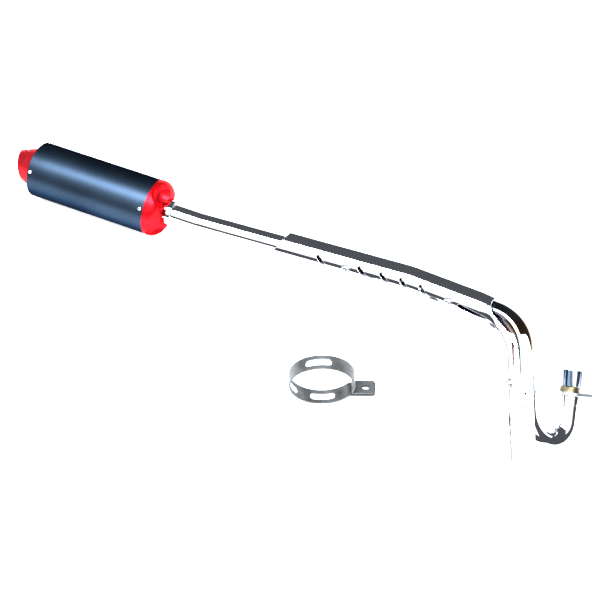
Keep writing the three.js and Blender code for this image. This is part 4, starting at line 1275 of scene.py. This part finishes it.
# ---------------------------------------------------------------- port end
class EXHAUST_OT_port_end(bpy.types.Operator):
    """Neck ring, head sleeve, gasket collar, spigot and the loose flange"""

    bl_idname = "exhaust.port_end"
    bl_label = "Port end"

    def execute(self, context):
        sizes = context.scene.exhaust_pipe
        along = Matrix.Rotation(-math.pi / 2, 4, "Z")
        entry = ROUTE.frame(0) @ along
        inner, outer = sizes.od / 2 + GAP, 18 * MM
        ring = lathe(tube_profile(inner, outer, GAP, 8 * MM + GAP, 1.2 * MM, 5), entry, 128, 40)
        fit(new_object("ring_bright", ring), "header", "chrome", "neck_ring")
        end = ROUTE.frame(HEAD_START) @ along
        bore = sizes.od / 2 - sizes.wall
        shoulder = GAP + HEAD_LENGTH
        spigot = shoulder + 11 * MM + GAP
        lip, r = shoulder - sizes.wall, sizes.head_od / 2
        profile = [(bore, GAP), (r, GAP), (r, shoulder)]
        profile += [(bore - 2 * MM, shoulder), (bore - 2 * MM, lip), (bore, lip)]
        sleeve = lathe(rounded(profile, 0.5 * MM), end, 128)
        fit(new_object("head_sleeve_bright", sleeve), "header", "chrome", "head_sleeve", finish="chrome_pipe")
        collar = tube_profile(bore - 2 * MM, sizes.collar_od / 2, shoulder + GAP, spigot - GAP, 0.4 * MM)
        collar = lathe(collar, end, 128)
        fit(new_object("collar_tinted", collar), "header", "heat_tinted_collar", "gasket_collar")
        tip = spigot + 21 * MM
        r = sizes.spigot_od / 2
        spigot_tube = lathe(tube_profile(bore - 2 * MM, r, spigot, tip, 0.8 * MM, 4), end, 128)
        spigot_object = new_object("spigot_bright", spigot_tube)
        fit(spigot_object, "header", "chrome", "port_spigot", finish="chrome_spigot_painted_reflection")
        self.flange(sizes, end, shoulder + 2 * GAP)
        return {"FINISHED"}

    def flange(self, sizes, end, floor):
        half = sizes.stud_spacing / 2
        lug = sizes.flange_length / 2 - half
        middle = sizes.flange_width / 2
        top = math.pi / 2 - math.asin((middle - lug) / half)
        arcs = [
            (half, lug, -top, top),
            (0, middle, top, math.pi - top),
            (-half, lug, math.pi - top, math.pi + top),
            (0, middle, math.pi + top, 2 * math.pi - top),
        ]
        outline = []
        for x, r, a, b in arcs:
            outline += [(x + r * math.cos(t), r * math.sin(t)) for t in np.linspace(a, b, 22)]
        hole = sizes.collar_od + 1.6 * MM
        holes = [stadium(hole, hole, steps=28)]
        for side in (-1, 1):
            holes.append(stadium(7 * MM, 7 * MM, steps=14, centre=(side * half, 0)))
        seat = end @ Matrix.Translation((0, floor, 0)) @ Matrix.Rotation(math.radians(78), 4, "Y")
        turn, shift = np.array(seat.to_3x3()), np.array(seat.translation)
        thick = 4 * MM

        def place(u, v, depth):
            local = np.stack([u, np.full_like(u, thick) - depth, -v], axis=1)
            return local @ turn.T + shift

        flange = pressed_sheet("flange_plate", outline, holes, place, thick, 2.5 * MM, 0.5 * MM)
        fit(flange, "flange", "flange_steel", "header_flange")


# ---------------------------------------------------------------- clamp
def clamp_path(bore, wall):
    """The middle line of the band, from the upper ear round the ring to the lower ear."""
    mid, tip, fillet = bore + wall / 2, bore + wall + 27 * MM, 3 * MM
    level = -bore * math.sin(math.radians(30))
    half_gap = 1.5 * MM + wall / 2
    upper, lower = level + half_gap, level - half_gap
    path = []
    cx = math.sqrt((mid + fillet) ** 2 - (upper + fillet) ** 2)
    path += [(x, upper) for x in np.linspace(tip, cx, 14)]
    start = math.atan2(upper + fillet, cx)
    for angle in np.linspace(-math.pi / 2, start - math.pi, 10)[1:]:
        path.append((cx + fillet * math.cos(angle), upper + fillet + fillet * math.sin(angle)))
    dx = math.sqrt((mid + fillet) ** 2 - (lower - fillet) ** 2)
    finish = math.atan2(lower - fillet, dx) + 2 * math.pi
    for angle in np.linspace(start, finish, 160)[1:]:
        path.append((mid * math.cos(angle), mid * math.sin(angle)))
    for angle in np.linspace(finish - math.pi, math.pi / 2, 10)[1:]:
        path.append((dx + fillet * math.cos(angle), lower - fillet + fillet * math.sin(angle)))
    path += [(x, lower) for x in np.linspace(dx, tip, 14)[1:]]
    return np.array(path)


class EXHAUST_OT_clamp(bpy.types.Operator):
    """The loose band clamp that holds the silencer"""

    bl_idname = "exhaust.clamp"
    bl_label = "Band clamp"

    def execute(self, context):
        wall, width = 2 * MM, 20 * MM
        bore = context.scene.exhaust_can.od / 2 + 0.5 * MM
        path = clamp_path(bore, wall)
        steps = np.linalg.norm(np.diff(path, axis=0), axis=1)
        reach = np.concatenate([[0.0], np.cumsum(steps)])
        total = reach[-1]
        ring_angle = np.unwrap(np.arctan2(path[:, 1], path[:, 0]))
        heading = unit(np.gradient(path, axis=0))
        normal = np.stack([heading[:, 1], -heading[:, 0]], axis=1)

        def place(u, v, depth):
            x, z = (np.interp(u, reach, path[:, k]) for k in (0, 1))
            direction = unit(np.stack([np.interp(u, reach, normal[:, k]) for k in (0, 1)], axis=1))
            lift = wall / 2 - depth
            points = np.stack([x + direction[:, 0] * lift, v, z + direction[:, 1] * lift], axis=1)
            return points + CLAMP_CENTRE

        outline, radius = [], 5 * MM
        near, far, side = radius, total - radius, width / 2 - radius
        for cx, cy, a in ((far, -side, -90), (far, side, 0), (near, side, 90), (near, -side, 180)):
            turns = np.radians(np.linspace(a, a + 90, 8))
            corner_arc = [(cx + radius * math.cos(t), cy + radius * math.sin(t)) for t in turns]
            if outline:
                outline += steps_between(outline[-1], corner_arc[0], 1.5 * MM)
            outline += corner_arc
        outline += steps_between(outline[-1], outline[0], 1.5 * MM)
        holes = []
        for turn in (97, 198, 272):
            centre = float(np.interp(math.radians(turn), ring_angle, reach))
            holes.append(stadium(34 * MM, 9 * MM, 0.0, 12, (centre, 0.0)))
        ear = 27 * MM * 0.48
        holes += [stadium(10 * MM, 7 * MM, 0.0, 12, (centre, 0.0)) for centre in (ear, total - ear)]
        band = pressed_sheet("band_clamp", np.array(outline), holes, place, wall, 1.6 * MM, 0.35 * MM)
        fit(band, "clamp", "zinc_band", "mounting_clamp")
        return {"FINISHED"}


# ---------------------------------------------------------------- studio
class EXHAUST_OT_studio(bpy.types.Operator):
    """Pale floor, soft lights and the camera"""

    bl_idname = "exhaust.studio"
    bl_label = "Studio"

    def execute(self, context):
        looks = context.scene.exhaust_looks
        half = 5.0
        corners = [(-half, -half, 0), (half, -half, 0), (half, half, 0), (-half, half, 0)]
        floor = new_object("studio_floor", mesh_of(corners, [(0, 1, 2, 3)]))
        floor.data.materials.append(floor_finish(tuple(looks.floor), 0.74))
        self.light("softbox", (0.0, -1.75, 2.45), (6.4, 2.6), 95.0, (1.0, 1.0, 1.0))
        self.light("strip", (-0.3, -0.65, 2.9), (4.4, 1.2), 520.0, (0.82, 0.91, 1.0))
        white = (1.0, 1.0, 1.0)
        sheet = bpy.data.collections.new("shield_only")
        for name in ("shield_bright", "shield_screws", "shield_washers"):
            if name in bpy.data.objects:
                sheet.objects.link(bpy.data.objects[name])
        self.light("wing_right", (2.2, 0.3, 1.7), (3.0, 3.0), 90.0, white, sheet)
        self.light("wing_left", (-2.3, 0.3, 1.7), (3.0, 3.0), 90.0, white, sheet)
        self.light("leg_card", (0.36, -0.13, 0.40), (0.55, 0.28), 1.3, white, sheet)
        world = bpy.data.worlds.new("studio_air")
        context.scene.world = world
        world.use_nodes = True
        nodes, links = world.node_tree.nodes, world.node_tree.links
        ground = nodes["Background"]
        ground.inputs["Color"].default_value = (0.10, 0.105, 0.115, 1.0)
        pale = nodes.new("ShaderNodeBackground")
        pale.inputs["Color"].default_value = (0.93, 0.93, 0.94, 1.0)
        ray, mixed = nodes.new("ShaderNodeLightPath"), nodes.new("ShaderNodeMixShader")
        links.new(ray.outputs["Is Camera Ray"], mixed.inputs[0])
        links.new(ground.outputs[0], mixed.inputs[1])
        links.new(pale.outputs[0], mixed.inputs[2])
        links.new(mixed.outputs[0], nodes["World Output"].inputs[0])
        lens = bpy.data.cameras.new("studio_camera")
        lens.lens, lens.sensor_width = 75.0, 36.0
        camera = bpy.data.objects.new("studio_camera", lens)
        context.scene.collection.objects.link(camera)
        tilt = math.radians(54)
        reach = 1.6667
        aim = Vector((17.272, -15.09, 45.4)) * MM
        camera.location = aim + Vector((0, -math.cos(tilt), math.sin(tilt))) * reach
        camera.rotation_euler = (math.pi / 2 - tilt, 0, 0)
        context.scene.camera = camera
        context.scene.view_settings.view_transform = "Standard"
        return {"FINISHED"}

    def light(self, name, place, extent, power, colour, receivers=None):
        data = bpy.data.lights.new(name, "AREA")
        data.shape, data.size, data.size_y = "RECTANGLE", *extent
        data.energy, data.color = power, colour
        lamp = bpy.data.objects.new(name, data)
        lamp.location = place
        lamp.rotation_euler = Vector(place).to_track_quat("Z", "Y").to_euler()
        lamp.visible_camera = False
        if receivers:
            lamp.light_linking.receiver_collection = receivers
        bpy.context.scene.collection.objects.link(lamp)


OPERATORS = (
    EXHAUST_OT_pipes,
    EXHAUST_OT_shield,
    EXHAUST_OT_shield_screws,
    EXHAUST_OT_sleeve,
    EXHAUST_OT_caps,
    EXHAUST_OT_rivets,
    EXHAUST_OT_inside,
    EXHAUST_OT_port_end,
    EXHAUST_OT_clamp,
    EXHAUST_OT_studio,
)


class EXHAUST_PT_build(bpy.types.Panel):
    """Lists the builders of the exhaust with their sizes and colours"""

    bl_idname = "EXHAUST_PT_build"
    bl_label = "Racing Exhaust"
    bl_space_type = "VIEW_3D"
    bl_region_type = "UI"
    bl_category = "Exhaust"

    def draw(self, context):
        scene = context.scene
        for group in (scene.exhaust_pipe, scene.exhaust_shield, scene.exhaust_can, scene.exhaust_looks):
            box = self.layout.box()
            for name in group.__annotations__:
                box.prop(group, name)
        for operator in OPERATORS:
            self.layout.operator(operator.bl_idname)


GROUPS = {
    "exhaust_pipe": ExhaustPipeSizes,
    "exhaust_shield": ExhaustShieldSizes,
    "exhaust_can": ExhaustCanSizes,
    "exhaust_looks": ExhaustLooks,
}


def register():
    for name, group in GROUPS.items():
        bpy.utils.register_class(group)
        setattr(bpy.types.Scene, name, PointerProperty(type=group))
    for kind in (*OPERATORS, EXHAUST_PT_build):
        bpy.utils.register_class(kind)


def unregister():
    for kind in (EXHAUST_PT_build, *reversed(OPERATORS)):
        bpy.utils.unregister_class(kind)
    for name, group in GROUPS.items():
        delattr(bpy.types.Scene, name)
        bpy.utils.unregister_class(group)


def main():
    register()
    for operator in OPERATORS:
        category, name = operator.bl_idname.split(".")
        getattr(getattr(bpy.ops, category), name)()


if __name__ == "__main__":
    main()
